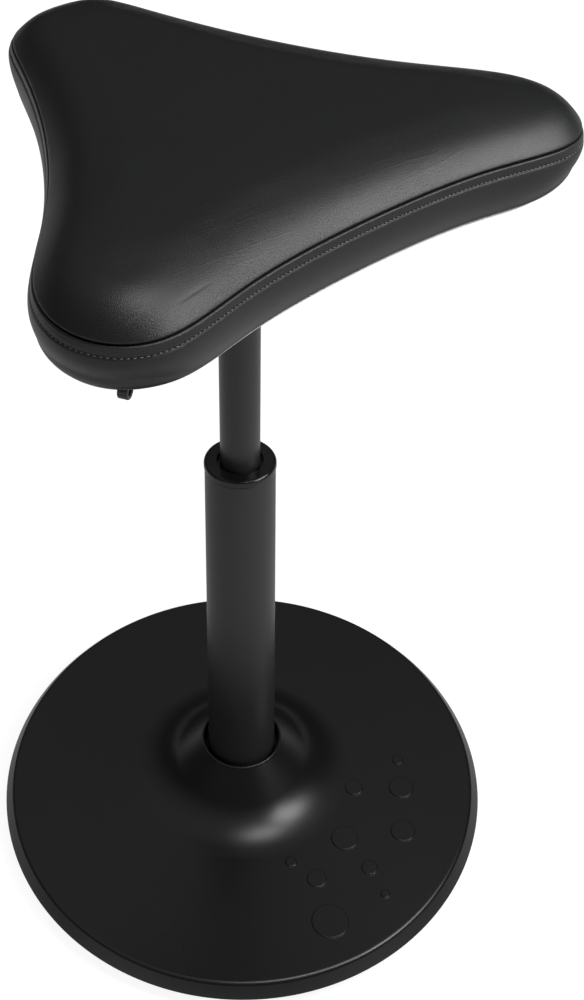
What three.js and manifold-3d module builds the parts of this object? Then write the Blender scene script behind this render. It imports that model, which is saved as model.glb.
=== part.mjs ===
// A perch stool on a round sway base: a three-lobed padded seat on a gas spring, in millimetres, +Z up.
// The origin is on the floor, at the middle of the base. The sitter faces -Y, and the seat's rear lobe
// points along +Y. The lobe at the sitter's right points to -150 degrees and has the release lever under it.
import * as THREE from "three";
import { mergeVertices } from "three/addons/utils/BufferGeometryUtils.js";
import Module from "manifold-3d";

const wasm = await Module();
wasm.setup();

// Fits and facets
const gap = 0.3; // between pieces that lie on each other
const runningGap = 0.35; // between a shaft and the bore that it turns or slides in
const overrun = 1; // how far a cutting shape runs past the face that it cuts
const weld = 0.001; // vertices closer than this are one
const wideFacets = 48;
const tubeFacets = 28;
const smallFacets = 12;

// Base cover: a moulded disc with a sloping rim and a conical hub in the middle
const baseRadius = 194;
const rimLift = 12; // the widest edge, above the floor
const rimHeight = 10;
const rimLean = 6.5; // how far the rim's side leans in over its height
const rimRounding = 3;
const coverWall = 2.5;
const coverTop = rimLift + rimHeight;
const hubHeight = 37.5; // the hub's lip, above the cover's flat top
const hubFootRadius = 90; // where the flat turns up into the hub
const hubFillet = 54; // between the flat and the hub's cone
const lipClearance = 2.8; // between the column's foot and the lip
const lipRounding = 0.8;
const lipTop = coverTop + hubHeight;
const dotHeight = 0.8;
const dotRounding = 0.5;
// Raised dots on the cover: x, y and radius, as shares of the base's radius
const dotShares = [
  [0.522, -0.415, 0.0235],
  [0.431, -0.523, 0.0502],
  [0.282, -0.395, 0.0369],
  [0.083, -0.542, 0.0534],
  [0.286, -0.672, 0.0487],
  [-0.154, -0.48, 0.0219],
  [-0.127, -0.601, 0.0384],
  [0.065, -0.702, 0.0317],
  [0.03, -0.823, 0.0175],
  [-0.212, -0.765, 0.0702],
];

// Ballast plate, and the screws that hold the cover on it
const plateThickness = 10;
const plateInset = 22; // inside the cover's widest edge
const plateTop = coverTop - coverWall - gap;
const plateBottom = plateTop - plateThickness;
const plateRadius = baseRadius - plateInset;
const bossCircle = 130;
const bossCount = 4;
const bossRadius = 5;
const bossLength = 6.5;
const coverScrewRadius = 2;
const coverScrewHead = 3.8;
const coverScrewHeadHeight = 2;
const coverScrewLength = 6; // of the shank
const coverScrewKey = 1.6; // of the socket in its head, to the corners

// Sole: the rubber underside, flat in the middle and curved up to the rim, so that the stool sways
const soleFlatRadius = 70;
const soleRim = 2; // how far the sole's edge stays inside the cover's edge
const soleEdge = 3; // the sole's thickness at its edge
const soleTop = plateBottom - gap;
const soleRimTop = rimLift - gap;

// Column: the outer tube of the gas spring, with a floor that carries the thrust bearing
const columnTopRadius = 25;
const columnFootRadius = 26.9;
const columnWall = 2; // at the top; the tube is thicker at its foot
const columnTop = 345;
const columnFloorRise = 6.8; // the floor above the tube's foot
const columnFloorThickness = 2.5;
const columnBore = columnTopRadius - columnWall;
const columnFoot = soleTop + gap;
const columnFloor = columnFoot + columnFloorRise;
const lipRadius = columnFootRadius + lipClearance + coverWall;

// Hub socket: the steel collar that holds the column on the ballast plate
const socketFlangeRadius = 56;
const socketFlangeThickness = 5;
const socketWall = 4.2;
const socketHeight = 26;
const socketScrewCircle = 44;
const socketScrewCount = 4;
const socketScrewRadius = 3;
const socketScrewHead = 5;
const socketScrewHeadHeight = 3.2;
const socketScrewLength = 13; // of the shank
const socketScrewKey = 2.5;

// Guide collar: the plastic bush in the top of the column, with the cap ring that shows
const collarOverhang = 0.5;
const collarRadius = columnTopRadius + collarOverhang;
const collarHeight = 5.5;
const collarRounding = 2.6;
const collarMouthGap = 2.15; // between the cylinder and the ring's opening
const collarMouthDepth = 3.5;
const bushLength = 90;

// Seat: its underside on the column's axis, its slope up to the rear lobe, and its outline
const seatHeight = 568.2;
const seatSlope = THREE.MathUtils.degToRad(5.64);
const seatReach = 200.5; // from the column's axis to the tip of the rear lobe
// The outline's control points, from the rear lobe to the middle of the front waist, as shares of the reach
const outlineShares = [
  [0, 1.013],
  [0.204, 0.973],
  [0.276, 0.754],
  [0.427, 0.387],
  [0.672, 0.005],
  [0.948, -0.251],
  [0.971, -0.506],
  [0.791, -0.661],
  [0.471, -0.558],
  [0, -0.536],
];
const outlineSteps = 60;
const outerSteps = { side: 4, corner: 3 }; // of the pad's skin
const innerSteps = { side: 2, corner: 2 }; // of the skin's inside and of the foam
const outerEdgeShares = [0, 0.15, 0.4, 0.7, 1]; // where rings lie on the top's edge
const innerEdgeShares = [0, 0.4, 1];

// Pressure cylinder: the part of the gas spring that slides in the guide collar
const cylinderRadius = 14;
const cylinderWall = 2;
const cylinderLength = 292;
const cylinderDrop = 14; // its top, below the seat's underside
const cylinderTop = seatHeight - cylinderDrop;
const cylinderBottom = cylinderTop - cylinderLength;
const collarMouth = cylinderRadius + collarMouthGap;
const cylinderNeck = 0.6; // how much the seat's taper draws the cylinder in
const neckLength = 24;
const cylinderBore = cylinderRadius - cylinderWall;
const rodGuideLength = 12;
const valveBodyLength = 18;
const valvePinRadius = 3;
const valvePinRise = 3.5; // the pin's tip above the cylinder
const valvePinLength = 17;

// Piston rod and its bearing, on the column's floor
const rodRadius = 5;
const rodFootRadius = 4;
const rodTail = 1.4; // the rod's end below its clip
const pistonLength = 9;
const pistonRest = 4; // the piston above the rod guide, with the seat all the way up
const rodTop = cylinderBottom + rodGuideLength + pistonRest + pistonLength;
const clipRadius = 9;
const clipThickness = 1.5;
const clipGrooveDepth = 0.6;
const clipMouthShare = 0.8; // the clip's mouth, as a share of the rod's foot
const washerRadius = 16;
const washerThickness = 1.5;
const cageRadius = 15;
const cageThickness = 2;
const ballRadius = 2.2;
const ballCount = 8;
const bufferRadius = 11;
const bufferLength = 12;

// Pad: boxing, crown and what they are made of
const padSide = 34.1; // the seam above the underside, on the column's axis
const padTaperShare = 0.0232; // of the way to the rear, which the seam comes down to the underside
const padBulge = 3;
const waistRounding = 3; // of the lower edge, where the outline is hollow
const lobeRounding = 14; // of the lower edge, round the lobes
const lobeRadius = 36; // of the outline, from which the lower edge has its full rounding
const edgeWidth = 31; // from the seam in to the flat of the top
const crownRise = 17.5; // of the flat above the seam
const crownPower = 2.2; // of the edge's curve, which starts steep and ends flat
const crownShares = [0.55]; // where the flat's rings lie between its edge and the middle
const leatherThickness = 1.5;
const tuckWidth = 24; // the boxing's hem under the board
const boardThickness = 10;
const boardInset = 5; // inside the lower edge's rounding
const boardBottom = leatherThickness + gap;
const boardTop = boardBottom + boardThickness;
const linerThickness = 0.8;
const linerInset = 1; // inside the lower edge's rounding

// Bracket under the board, and its screws
const bracketLength = 150;
const bracketWidth = 110;
const bracketCorner = 12;
const bracketThickness = 3;
const screwSpacingX = 120;
const screwSpacingY = 80;
const seatScrewRadius = 3;
const seatScrewHead = 5.5;
const seatScrewHeadHeight = 3.5;
const seatScrewLength = 14; // of the shank
const seatScrewKey = 2.5;
const screwHoleGap = 0.4;
const nutWall = 1;
const nutFlangeRadius = 9;
const nutFlangeThickness = 1.2;
const nutLength = 8;
const cheekSpacing = 48;
const cheekFront = 44;
const cheekBack = 30;
const channelDepth = 25; // the channel's floor below the seat's underside
const sleeveWall = 4;
const sleeveLength = 27.5;
const sleeveRise = 1.5; // above the cylinder's top
const sleeveTop = cylinderTop + sleeveRise;
const sleeveBottom = sleeveTop - sleeveLength;

// Release lever: a pressed strip on a pin, its inner end over the valve's pin
const leverTurn = -60; // degrees from -Y to the lever's lobe
const pivotReach = 26; // from the column's axis
const pivotRise = 1.3; // above the cylinder's top
const pivotHeight = cylinderTop + pivotRise;
const pivotPinRadius = 2.5;
const pivotPinHead = 4;
const pivotPinHeadLength = 1.5;
const leverHub = 5.5;
const leverHubWidth = 14;
const leverArmReach = 3; // of the inner arm past the column's axis
const leverArmThickness = 2.5;
const leverArmGap = 0.5; // between the arm and the valve's pin
const stripWidth = 6;
const stripThickness = 2.2;
const leverReach = 178;
const leverDrop = 14; // of the strip's end below the pivot
const curlRadius = 3.4;
const curlTurn = THREE.MathUtils.degToRad(265);

// Makes a solid of a closed geometry, with its shared vertices joined and its faces turned outwards.
function solid(geometry) {
  const bare = geometry.index ? geometry.toNonIndexed() : geometry.clone();
  bare.deleteAttribute("normal");
  bare.deleteAttribute("uv");
  const merged = mergeVertices(bare, weld);
  const corners = merged.attributes.position;
  const a = new THREE.Vector3();
  const b = new THREE.Vector3();
  const c = new THREE.Vector3();
  const faces = [];
  let volume = 0;
  for (let i = 0; i < merged.index.count; i += 3) {
    const [p, q, r] = [0, 1, 2].map((k) => merged.index.getX(i + k));
    if (p === q || q === r || r === p) continue;
    faces.push([p, q, r]);
    a.fromBufferAttribute(corners, p);
    b.fromBufferAttribute(corners, q);
    c.fromBufferAttribute(corners, r);
    volume += a.dot(b.cross(c));
  }
  const turned = volume < 0 ? faces.map(([p, q, r]) => [q, p, r]) : faces;
  return new wasm.Manifold(
    new wasm.Mesh({
      numProp: 3,
      vertProperties: new Float32Array(corners.array),
      triVerts: new Uint32Array(turned.flat()),
    }),
  );
}

// Turns a solid back into a three.js geometry.
function geometryOf(made) {
  const mesh = made.getMesh();
  const geometry = new THREE.BufferGeometry();
  geometry.setAttribute("position", new THREE.BufferAttribute(mesh.vertProperties, 3));
  geometry.setIndex(new THREE.BufferAttribute(mesh.triVerts, 1));
  geometry.computeVertexNormals();
  return geometry;
}

// A profile of [radius, height] points turned about Z. It ends on the axis or closes on itself.
function turnedGeometry(profile, facets) {
  const points = profile.map(([r, z]) => new THREE.Vector2(r, z));
  if (profile[0][0] > 0 || profile.at(-1)[0] > 0) points.push(points[0].clone());
  return new THREE.LatheGeometry(points, facets).rotateX(Math.PI / 2);
}

function turned(profile, facets) {
  return solid(turnedGeometry(profile, facets));
}

// A disc, or a ring where it has a bore, about the column's axis or an axis at x, y.
function disc(radius, low, high, facets, bore = 0, x = 0, y = 0) {
  const profile = [
    [bore, low],
    [radius, low],
    [radius, high],
    [bore, high],
  ];
  return solid(turnedGeometry(profile, facets).translate(x, y, 0));
}

// Points of a quarter ellipse from angle 0 to 90 degrees, about a centre given as radius and height.
function quarter(centreR, centreZ, acrossR, acrossZ, steps) {
  const points = [];
  for (let i = 0; i <= steps; i += 1) {
    const turn = ((Math.PI / 2) * i) / steps;
    points.push([centreR + acrossR * Math.cos(turn), centreZ + acrossZ * Math.sin(turn)]);
  }
  return points;
}

// Evenly spaced places round a circle, as [x, y].
function around(count, radius, start = 0) {
  return Array.from({ length: count }, (_, i) => {
    const turn = start + (i * 2 * Math.PI) / count;
    return [radius * Math.cos(turn), radius * Math.sin(turn)];
  });
}

// Moves a geometry from the seat's sloping frame into the stool's.
function onSeat(geometry) {
  return geometry.rotateX(seatSlope).translate(0, 0, seatHeight);
}

const materials = {
  cover: { color: 0x1d1e1f, roughness: 0.42, metalness: 0 },
  sole: { color: 0x121212, roughness: 0.85, metalness: 0 },
  iron: { color: 0x3a3a3c, roughness: 0.7, metalness: 0.6 },
  coatedSteel: { color: 0x26282a, roughness: 0.45, metalness: 0.3 },
  glossPlastic: { color: 0x141415, roughness: 0.2, metalness: 0 },
  brightSteel: { color: 0x9a9c9f, roughness: 0.3, metalness: 1 },
  rubber: { color: 0x1a1a1a, roughness: 0.8, metalness: 0 },
  brass: { color: 0xa98b4f, roughness: 0.35, metalness: 1 },
  plywood: { color: 0xb08a5a, roughness: 0.75, metalness: 0 },
  foam: { color: 0x8d8f86, roughness: 1, metalness: 0 },
  liner: { color: 0x5d6063, roughness: 0.9, metalness: 0 },
  leather: { color: 0x232425, roughness: 0.45, metalness: 0 },
};

const stool = new THREE.Group();

function place(name, made, finish, parent = stool) {
  const geometry = made.isBufferGeometry ? made : geometryOf(made);
  const mesh = new THREE.Mesh(geometry, new THREE.MeshStandardMaterial(materials[finish]));
  mesh.name = name;
  parent.add(mesh);
  return mesh;
}

// The hub's line from the cover's flat round its foot's fillet and straight up its cone to the lip, moved in
// from the outside by a wall.
function hubLine(wall, steps) {
  const across = hubFootRadius - lipRadius;
  const down = coverTop + hubFillet + lipRounding - lipTop;
  const tilt = Math.asin(hubFillet / Math.hypot(across, down)) - Math.atan2(down, across);
  const reach = hubFillet + wall;
  const line = [];
  for (let i = 0; i <= steps; i += 1) {
    const turn = (tilt * i) / steps;
    line.push([hubFootRadius - reach * Math.sin(turn), coverTop + hubFillet - reach * Math.cos(turn)]);
  }
  const [radius, height] = line.at(-1);
  const lip = lipRadius - wall;
  return [...line, [lip, height + (radius - lip) * Math.tan(tilt)]];
}

// Base cover: the outer skin, then the same line one wall further in, then the bosses and the dots
function baseCover() {
  const filletSteps = 6;
  const outer = [
    [baseRadius, rimLift],
    ...quarter(
      baseRadius - rimLean - rimRounding,
      coverTop - rimRounding,
      rimRounding + (rimLean * rimRounding) / rimHeight,
      rimRounding,
      2,
    ),
    ...hubLine(0, filletSteps),
    [lipRadius - lipRounding, lipTop],
  ];
  const inner = [
    [lipRadius - coverWall, lipTop],
    ...hubLine(coverWall, filletSteps).reverse(),
    [baseRadius - rimLean - coverWall, coverTop - coverWall],
    [baseRadius - coverWall - overrun, rimLift],
  ];
  let made = turned([...outer, ...inner], wideFacets);
  const bossTop = coverTop - coverWall;
  const bossFoot = bossTop - bossLength;
  const pilot = coverScrewRadius + gap;
  for (const [x, y] of around(bossCount, bossCircle, Math.PI / 4)) {
    made = made
      .add(disc(bossRadius, bossFoot, bossTop + overrun, smallFacets, 0, x, y))
      .subtract(disc(pilot, bossFoot - overrun, bossTop + gap, smallFacets, 0, x, y));
  }
  for (const [xShare, yShare, radiusShare] of dotShares) {
    const radius = radiusShare * baseRadius;
    const profile = [
      [0, coverTop - overrun],
      [radius, coverTop - overrun],
      [radius, coverTop + dotHeight - dotRounding],
      [radius - dotRounding, coverTop + dotHeight],
      [0, coverTop + dotHeight],
    ];
    const dot = turnedGeometry(profile, smallFacets).translate(xShare * baseRadius, yShare * baseRadius, 0);
    made = made.add(solid(dot));
  }
  return made;
}

// Sole: flat in the middle, then on the sway radius, with an edge that closes the rim from below
function sole() {
  const edge = baseRadius - soleRim;
  const run = edge - soleFlatRadius;
  const rise = soleRimTop - soleEdge;
  const swayRadius = (run ** 2 + rise ** 2) / (2 * rise);
  const curve = [];
  const steps = 6;
  for (let i = 0; i <= steps; i += 1) {
    const across = (run * i) / steps;
    curve.push([soleFlatRadius + across, swayRadius - Math.sqrt(swayRadius ** 2 - across ** 2)]);
  }
  const profile = [
    [0, 0],
    ...curve,
    [edge, soleRimTop],
    [plateRadius + overrun, soleRimTop],
    [plateRadius + overrun, soleTop],
    [0, soleTop],
  ];
  return turned(profile, wideFacets);
}

function ballastPlate() {
  let made = disc(plateRadius, plateBottom, plateTop, wideFacets, columnFootRadius + gap);
  const headTop = plateBottom + coverScrewHeadHeight + gap;
  const wellFloor = coverTop - coverWall - bossLength - gap;
  for (const [x, y] of around(bossCount, bossCircle, Math.PI / 4)) {
    made = made
      .subtract(disc(bossRadius + gap, wellFloor, plateTop + overrun, smallFacets, 0, x, y))
      .subtract(disc(coverScrewRadius + gap, plateBottom, plateTop, smallFacets, 0, x, y))
      .subtract(disc(coverScrewHead + gap, plateBottom - overrun, headTop, smallFacets, 0, x, y));
  }
  for (const [x, y] of around(socketScrewCount, socketScrewCircle)) {
    const hole = socketScrewRadius + screwHoleGap;
    made = made.subtract(disc(hole, plateBottom - overrun, plateTop + overrun, smallFacets, 0, x, y));
  }
  return made;
}

const coverScrew = {
  head: coverScrewHead,
  headHeight: coverScrewHeadHeight,
  shank: coverScrewRadius,
  length: coverScrewLength,
  key: coverScrewKey,
};
const socketScrew = {
  head: socketScrewHead,
  headHeight: socketScrewHeadHeight,
  shank: socketScrewRadius,
  length: socketScrewLength,
  key: socketScrewKey,
};
const seatScrew = {
  head: seatScrewHead,
  headHeight: seatScrewHeadHeight,
  shank: seatScrewRadius,
  length: seatScrewLength,
  key: seatScrewKey,
};

// A screw from the face of its head, up (way 1) or down (way -1), with a six-sided socket in the head
function screw([x, y], face, way, { head, headHeight, shank, length, key }) {
  const seat = face + way * headHeight;
  const tip = seat + way * length;
  const profile = [
    [0, face],
    [head, face],
    [head, seat],
    [shank, seat],
    [shank, tip],
    [0, tip],
  ];
  const socket = [
    [0, face - way * overrun],
    [key, face - way * overrun],
    [key, face + (way * headHeight) / 2],
    [0, face + (way * headHeight) / 2],
  ];
  const body = solid(turnedGeometry(profile, smallFacets).translate(x, y, 0));
  return body.subtract(solid(turnedGeometry(socket, 6).translate(x, y, 0)));
}

function hubSocket() {
  const foot = plateTop + gap;
  const bore = columnFootRadius + gap;
  const profile = [
    [bore, foot],
    [socketFlangeRadius, foot],
    [socketFlangeRadius, foot + socketFlangeThickness],
    [bore + socketWall, foot + socketFlangeThickness],
    [bore + socketWall, foot + socketHeight],
    [bore, foot + socketHeight],
  ];
  let made = turned(profile, tubeFacets);
  for (const [x, y] of around(socketScrewCount, socketScrewCircle)) {
    const hole = socketScrewRadius + screwHoleGap;
    made = made.subtract(
      disc(hole, foot - overrun, foot + socketFlangeThickness + overrun, smallFacets, 0, x, y),
    );
  }
  return made;
}

function columnTube() {
  const hole = rodFootRadius + runningGap;
  return turned(
    [
      [columnBore, columnFoot],
      [columnFootRadius, columnFoot],
      [columnTopRadius, columnTop],
      [columnBore, columnTop],
      [columnBore, columnFloor + columnFloorThickness],
      [hole, columnFloor + columnFloorThickness],
      [hole, columnFloor],
      [columnBore, columnFloor],
    ],
    tubeFacets,
  );
}

function guideCollar() {
  const foot = columnTop + gap;
  const top = foot + collarHeight;
  const bore = cylinderRadius + runningGap;
  return turned(
    [
      [bore, columnTop - bushLength],
      [columnBore - gap, columnTop - bushLength],
      [columnBore - gap, foot],
      [collarRadius, foot],
      ...quarter(collarRadius - collarRounding, top - collarRounding, collarRounding, collarRounding, 3),
      [collarMouth, top],
      [collarMouth, top - collarMouthDepth],
      [bore, top - collarMouthDepth],
    ],
    tubeFacets,
  );
}

function pressureCylinder() {
  return turned(
    [
      [cylinderBore, cylinderBottom],
      [cylinderRadius, cylinderBottom],
      [cylinderRadius, cylinderTop - neckLength],
      [cylinderRadius - cylinderNeck, cylinderTop],
      [cylinderBore, cylinderTop],
    ],
    tubeFacets,
  );
}

// Piston rod: its foot is stepped, so that its shoulder rests on the bearing, and grooved for the clip
const clipTop = columnFloor - gap;
const rodFoot = clipTop - clipThickness - gap - rodTail;
const bearingFloor = columnFloor + columnFloorThickness + gap;
const cageFloor = bearingFloor + washerThickness + gap;
const ballPitchRadius = (washerRadius + rodFootRadius) / 2;
const upperWasherFloor = cageFloor + 2 * ballRadius + gap;
const shoulder = upperWasherFloor + washerThickness + gap;

function pistonRod() {
  const groove = rodFootRadius - clipGrooveDepth;
  const neck = rodRadius - clipGrooveDepth;
  const pistonFoot = rodTop - pistonLength;
  return turned(
    [
      [0, rodFoot],
      [rodFootRadius, rodFoot],
      [rodFootRadius, clipTop - clipThickness - gap],
      [groove, clipTop - clipThickness - gap],
      [groove, clipTop + gap],
      [rodFootRadius, clipTop + gap],
      [rodFootRadius, shoulder],
      [rodRadius, shoulder],
      [rodRadius, pistonFoot],
      [neck, pistonFoot],
      [neck, rodTop],
      [0, rodTop],
    ],
    smallFacets,
  );
}

function rodClip() {
  const groove = rodFootRadius - clipGrooveDepth;
  const ring = disc(clipRadius, clipTop - clipThickness, clipTop, smallFacets, groove + gap);
  const mouth = new THREE.BoxGeometry(clipRadius + overrun, 2 * clipMouthShare * rodFootRadius, rodFoot);
  return ring.subtract(solid(mouth.translate((clipRadius + overrun) / 2, 0, clipTop)));
}

function washer(floor) {
  return disc(washerRadius, floor, floor + washerThickness, smallFacets, rodFootRadius + runningGap);
}

function rubberBuffer() {
  const floor = shoulder + gap;
  return disc(bufferRadius, floor, floor + bufferLength, smallFacets, rodRadius + gap);
}

function piston() {
  const bore = rodRadius - clipGrooveDepth + gap;
  return disc(cylinderBore - gap, rodTop - pistonLength + gap, rodTop, smallFacets, bore);
}

function rodGuide() {
  const floor = cylinderBottom + gap;
  return disc(cylinderBore - gap, floor, floor + rodGuideLength, smallFacets, rodRadius + runningGap);
}

function valveBody() {
  const floor = cylinderTop - valveBodyLength;
  return disc(cylinderBore - gap, floor, cylinderTop - gap, smallFacets, valvePinRadius + runningGap);
}

function valvePin() {
  const top = cylinderTop + valvePinRise;
  return disc(valvePinRadius, top - valvePinLength, top, smallFacets);
}

function ballCage() {
  const middle = cageFloor + ballRadius;
  const bore = rodFootRadius + runningGap;
  let made = disc(cageRadius, middle - cageThickness / 2, middle + cageThickness / 2, smallFacets, bore);
  for (const [x, y] of around(ballCount, ballPitchRadius)) {
    made = made.add(solid(new THREE.SphereGeometry(ballRadius, 6, 4).translate(x, y, middle)));
  }
  return made;
}

// The seat's outline, alike on both sides: a closed cubic B-spline
const outlineControls = [
  ...outlineShares,
  ...outlineShares.slice(1, -1).reverse().map(([x, y]) => [-x, y]),
].map(([x, y]) => new THREE.Vector2(x * seatReach, y * seatReach));

// The outline at a share of the way round: its point, its outward normal, and its bend, which is more than
// zero where the outline is convex
function outlineAt(way) {
  const count = outlineControls.length;
  const first = Math.floor(way * count);
  const t = way * count - first;
  const mix = (weights) => {
    const sum = new THREE.Vector2();
    weights.forEach((weight, k) => {
      sum.addScaledVector(outlineControls[(first + k + count - 1) % count], weight);
    });
    return sum;
  };
  const point = mix([(1 - t) ** 3, 3 * t ** 3 - 6 * t ** 2 + 4, 1 + 3 * t + 3 * t ** 2 - 3 * t ** 3, t ** 3]);
  const speed = mix([-((1 - t) ** 2), 3 * t ** 2 - 4 * t, 1 + 2 * t - 3 * t ** 2, t ** 2]).divideScalar(2);
  const change = mix([1 - t, 3 * t - 2, 1 - 3 * t, t]);
  const bend = (speed.y * change.x - speed.x * change.y) / speed.length() ** 3;
  return { point: point.divideScalar(6), normal: new THREE.Vector2(-speed.y, speed.x).normalize(), bend };
}

// The rounding of the pad's lower edge: the leather is drawn in further where the outline is convex
function tuckRounding(bend) {
  return waistRounding + (lobeRounding - waistRounding) * THREE.MathUtils.smoothstep(bend * lobeRadius, 0, 1);
}

// A height in the pad, which gets thinner towards the rear above the board
function wedgeHeight(y, z) {
  const above = THREE.MathUtils.clamp((z - boardTop) / (padSide - boardTop), 0, 1);
  return z - padTaperShare * y * above;
}

// A ring is its place on the pad, or a function that gives the place from the lower edge's rounding.
function placeOn(ring, rounding) {
  return ring instanceof Function ? ring(rounding) : ring;
}

// One ring of the pad: the outline moved out by an offset, then drawn in to a share of itself
function padRing(ring) {
  return Array.from({ length: outlineSteps }, (_, i) => {
    const { point, normal, bend } = outlineAt(i / outlineSteps);
    const { out = 0, share = 1, z } = placeOn(ring, tuckRounding(bend));
    const { x, y } = point.addScaledVector(normal, out).multiplyScalar(share);
    return new THREE.Vector3(x, y, wedgeHeight(y, z));
  });
}

// Skins a row of rings. A row that closes on itself is a shell; otherwise each end closes on the axis.
function skin(rings, closed) {
  const points = rings.map(padRing);
  const vertices = points.flat();
  const faces = [];
  const rows = closed ? points.length : points.length - 1;
  for (let row = 0; row < rows; row += 1) {
    const low = row * outlineSteps;
    const high = ((row + 1) % points.length) * outlineSteps;
    for (let i = 0; i < outlineSteps; i += 1) {
      const next = (i + 1) % outlineSteps;
      faces.push(low + i, low + next, high + next, low + i, high + next, high + i);
    }
  }
  if (!closed) {
    for (const row of [0, points.length - 1]) {
      const middle = vertices.push(new THREE.Vector3(0, 0, placeOn(rings[row], lobeRounding).z)) - 1;
      for (let i = 0; i < outlineSteps; i += 1) {
        const edge = [row * outlineSteps + i, row * outlineSteps + ((i + 1) % outlineSteps)];
        faces.push(...(row === 0 ? [edge[1], edge[0]] : edge), middle);
      }
    }
  }
  const geometry = new THREE.BufferGeometry().setFromPoints(vertices);
  geometry.setIndex(faces);
  return solid(geometry);
}

// The boxing's line from the seam down to its hem, moved in from the outside by an inset.
function boxingLine(inset, steps) {
  const line = [];
  for (let i = 0; i <= steps.side; i += 1) {
    const share = i / steps.side;
    const out = padBulge * Math.sin(Math.PI * share) - inset;
    line.push((rounding) => ({ out, z: padSide + (rounding - padSide) * share }));
  }
  for (let i = 1; i <= steps.corner; i += 1) {
    const turn = ((Math.PI / 2) * i) / steps.corner;
    line.push((rounding) => {
      const reach = rounding - inset;
      return { out: reach * Math.cos(turn) - rounding, z: rounding - reach * Math.sin(turn) };
    });
  }
  return line;
}

function sidePanel() {
  const hem = (z) => ({ out: -tuckWidth, z });
  const inner = boxingLine(leatherThickness, innerSteps).reverse();
  return skin([...boxingLine(0, outerSteps), hem(0), hem(leatherThickness), ...inner], true);
}

// The crown's line from the seam up to the flat of the top, then to the middle of the seat.
function crownLine(inset, edgeShares) {
  const seam = padSide + gap;
  const line = edgeShares.map((share) => {
    const out = -edgeWidth * share - inset * (1 - share);
    return { out, z: seam + (crownRise - inset) * (1 - (1 - share) ** crownPower) };
  });
  const { out } = line.at(-1);
  crownShares.forEach((share) => line.push({ out, share, z: seam + crownRise - inset }));
  return line;
}

function topPanel() {
  const inner = crownLine(leatherThickness, innerEdgeShares);
  const hollow = skin([{ ...inner[0], z: padSide - overrun }, ...inner], false);
  return skin(crownLine(0, outerEdgeShares), false).subtract(hollow);
}

function cushionFoam() {
  const inset = leatherThickness + gap;
  const floor = boardTop + gap;
  const foot = (rounding) => ({ out: -inset - Math.max(rounding - floor, 0), z: floor });
  const side = boxingLine(inset, innerSteps).slice(0, innerSteps.side).reverse();
  return skin([foot, ...side, ...crownLine(inset, innerEdgeShares).slice(1)], false);
}

// A flat sheet in the seat's outline, from one height to another, in the seat's frame. Its inset counts from
// where the pad's lower edge begins to round.
function outlineSheet(inset, low, high) {
  const edge = (z) => (rounding) => ({ out: -rounding - inset, z });
  return skin([edge(low), edge(high)], false);
}

const linerBottom = -gap - linerThickness;
const bracketTop = linerBottom - gap;
const bracketBottom = bracketTop - bracketThickness;
const screwPlaces = [-1, 1].flatMap((side) => [
  [(side * screwSpacingX) / 2, -screwSpacingY / 2],
  [(side * screwSpacingX) / 2, screwSpacingY / 2],
]);
const nutRadius = seatScrewRadius + screwHoleGap + nutWall;

// Board: the plywood that the pad is upholstered on, with a recess and a hole for each tee nut
function seatBoard() {
  let made = outlineSheet(boardInset, boardBottom, boardTop);
  for (const [x, y] of screwPlaces) {
    const recess = boardTop - nutFlangeThickness - gap;
    made = made
      .subtract(disc(nutRadius + gap, boardBottom - overrun, boardTop + overrun, smallFacets, 0, x, y))
      .subtract(disc(nutFlangeRadius + gap, recess, boardTop + overrun, smallFacets, 0, x, y));
  }
  return made;
}

function undersideLiner() {
  let made = outlineSheet(linerInset, linerBottom, -gap);
  for (const [x, y] of screwPlaces) {
    const hole = seatScrewRadius + screwHoleGap;
    made = made.subtract(disc(hole, linerBottom - overrun, overrun, smallFacets, 0, x, y));
  }
  return made;
}

function teeNut([x, y]) {
  const bore = seatScrewRadius + screwHoleGap;
  const top = boardTop - gap;
  const profile = [
    [bore, top - nutLength],
    [nutRadius, top - nutLength],
    [nutRadius, top - nutFlangeThickness],
    [nutFlangeRadius, top - nutFlangeThickness],
    [nutFlangeRadius, top],
    [bore, top],
  ];
  return solid(turnedGeometry(profile, smallFacets).translate(x, y, 0));
}

// Bracket: the sloping plate under the board, and the channel with the sleeve, turned to the lever's lobe
function seatBracket() {
  const plate = new THREE.Shape();
  const halfX = bracketLength / 2 - bracketCorner;
  const halfY = bracketWidth / 2 - bracketCorner;
  plate.absarc(halfX, halfY, bracketCorner, 0, Math.PI / 2);
  plate.absarc(-halfX, halfY, bracketCorner, Math.PI / 2, Math.PI);
  plate.absarc(-halfX, -halfY, bracketCorner, Math.PI, (3 * Math.PI) / 2);
  plate.absarc(halfX, -halfY, bracketCorner, (3 * Math.PI) / 2, 2 * Math.PI);
  const flat = new THREE.ExtrudeGeometry(plate, {
    depth: bracketThickness,
    bevelEnabled: false,
    curveSegments: 5,
  });
  const above = new THREE.BoxGeometry(bracketLength, 2 * bracketWidth, bracketWidth);
  const lid = solid(onSeat(above.translate(0, 0, bracketWidth / 2 + bracketBottom + bracketThickness / 2)));
  let made = solid(onSeat(flat.translate(0, 0, bracketBottom))).add(channel().subtract(lid));
  const hole = seatScrewRadius + screwHoleGap;
  for (const [x, y] of screwPlaces) {
    const cut = disc(hole, bracketBottom - overrun, bracketTop + overrun, smallFacets, 0, x, y);
    made = made.subtract(solid(onSeat(geometryOf(cut))));
  }
  return made;
}

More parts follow.
